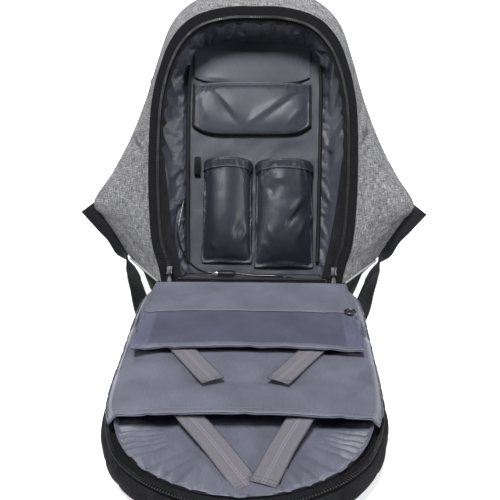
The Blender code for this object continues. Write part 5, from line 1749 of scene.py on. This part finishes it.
# Columns: distance from the hinge as a share of PANEL_LENGTH, side as one of the half width.
STRAP_ROWS = (
    (0.880, 0.290),
    (0.760, 0.425),
    (0.600, 0.600),
    (0.420, 0.690),
    (0.290, 0.720),
)
# Columns: side as a share of PANEL_HALF_WIDTH, y and height in metres, then the way in which
# the webbing is wide there.
CORNER_ROWS = (
    (0.86, PANEL_START - 0.020, PAD_BOTTOM * 0.5, 1.0, 0.00, 0.00),
    (0.99, HINGE_Y + 0.014, PAD_BOTTOM, 0.9, -0.20, 0.20),
    (1.09, HINGE_Y + 0.050, HINGE_Z * 0.88, 0.5, -0.83, 0.25),
)
# Columns: share of the way up the wing's lower edge, then how far out of it and how far
# behind it the webbing's middle lies, in WEBBING_WIDTH.
WEBBING_ROWS = (
    (0.35, 0.06, 0.38),
    (0.65, 0.22, 0.24),
    (1.00, 0.42, 0.14),
)
webbing = Finish("black webbing", CLOTH_BLACK, roughness=0.66, sheen=0.04, gloss=0.2)
webbing_ribs = webbing.wave(webbing.place(), "Y", scale=260.0, distortion=0.3)
webbing_rows = webbing.wave(webbing.place(), "X", scale=300.0)
webbing.paint(webbing.ramp(webbing_ribs, (
    (0.0, shade(CLOTH_BLACK, 0.7)),
    (1.0, shade(CLOTH_BLACK, 2.0)),
)))
webbing.bump(webbing.math("ADD", webbing_ribs, webbing_rows), distance=0.0006, strength=0.8)

wing_tip = np.array((SIDE_ROWS[3][3] * WING_REACH, SIDE_ROWS[3][2] * SHELL_LENGTH))
wing_foot = np.array((SIDE_ROWS[0][3] * WING_REACH, SIDE_ROWS[0][2] * SHELL_LENGTH))
wing_fold = unit(wing_tip - wing_foot)
wing_out = np.array((wing_fold[1], -wing_fold[0]))
for hand, label in HANDS:
    strap_line = spline(STRAP_ROWS, steps=14)
    strap_centre = stacked(
        hand * strap_line[:, 1] * PANEL_HALF_WIDTH,
        PANEL_START - strap_line[:, 0] * PANEL_LENGTH,
        STRAP_THICKNESS / 2,
    )
    strap_side = np.cross(unit(np.gradient(strap_centre, axis=0)), upward)
    ring_x, ring_z = rounded(STRAP_WIDTH, STRAP_THICKNESS, count=40, power=3.4)
    end_draw = np.concatenate(([0.90, 0.97], np.ones(len(strap_line) - 4), [0.97, 0.90]))[:, None]
    strap_rings = (strap_centre[:, None]
                   + strap_side[:, None] * (end_draw * ring_x)[..., None]
                   + upward * (end_draw * ring_z)[..., None])
    strap_pin = edge_pins(strap_rings)
    strap_pin[[1, -2]] = 1
    strap_rings = settle(strap_rings, strap_pin, grow=0.030, bend=1.0, reach=0.0012, weight=0.0)
    strap_rings[..., 2] = np.maximum(strap_rings[..., 2], 0.0)
    padded_strap = sleeve("padded_strap_" + label, strap_rings, padding)
    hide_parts("shoulder_strap_" + label)

    step = unit(strap_centre[-1] - strap_centre[-2])
    across = np.cross(step, upward)
    buckle_middle = strap_centre[-1] + step * (CLEARANCE + ADJUSTER_LENGTH / 2)
    rungs = bars(
        "ladder_rungs_" + label,
        buckle_middle + step * np.array(RUNG_PLACES)[:, None] * ADJUSTER_LENGTH,
        across,
        upward,
        (ADJUSTER_WIDTH - 2 * RAIL_WIDTH + 0.001, 0.0036, ADJUSTER_THICKNESS * 0.7),
        moulding,
        bevel=0.0008,
    )
    rails = bars(
        "ladder_rails_" + label,
        buckle_middle + np.array((-1.0, 1.0))[:, None] * across * (ADJUSTER_WIDTH - RAIL_WIDTH) / 2,
        step,
        upward,
        (ADJUSTER_LENGTH, RAIL_WIDTH, ADJUSTER_THICKNESS),
        moulding,
        bevel=0.0010,
    )
    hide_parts("strap_adjuster_" + label)

    leave = buckle_middle + step * (ADJUSTER_LENGTH / 2 + CLEARANCE)
    stations = [(leave + step * ADJUSTER_LENGTH * share, across * hand) for share in (0.0, 0.3, 0.6)]
    for side, y, z, *way in CORNER_ROWS:
        place = np.array((hand * side * PANEL_HALF_WIDTH, y, z))
        stations.append((place, way * np.array((hand, 1, 1))))
    turn = wing_foot + wing_out * 0.006 - wing_fold * 0.010
    twist = shell_point(hand * turn[0], turn[1], SIDE_DEPTH + TWIST_DEPTH)
    stations.append(((place + twist) / 2, (hand * 0.32, -0.92, 0.3)))
    stations.append((twist, (hand * 0.15, -0.95, 0.3)))
    wide = shell_way(-hand * wing_out[0], -wing_out[1], 0.25)
    for share, shift, rise in WEBBING_ROWS:
        spot = wing_foot + (wing_tip - wing_foot) * share + wing_out * WEBBING_WIDTH * shift
        depth = SIDE_DEPTH + WEBBING_WIDTH * rise
        stations.append((shell_point(hand * spot[0], spot[1], depth), wide))
    stations = spline([np.concatenate(pair) for pair in stations], steps=9)
    lower_webbing = strap("lower_webbing_" + label, stations[:, :3], stations[:, 3:], WEBBING_WIDTH,
                          WEBBING_THICKNESS, webbing)
    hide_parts("anchor_strap_" + label)
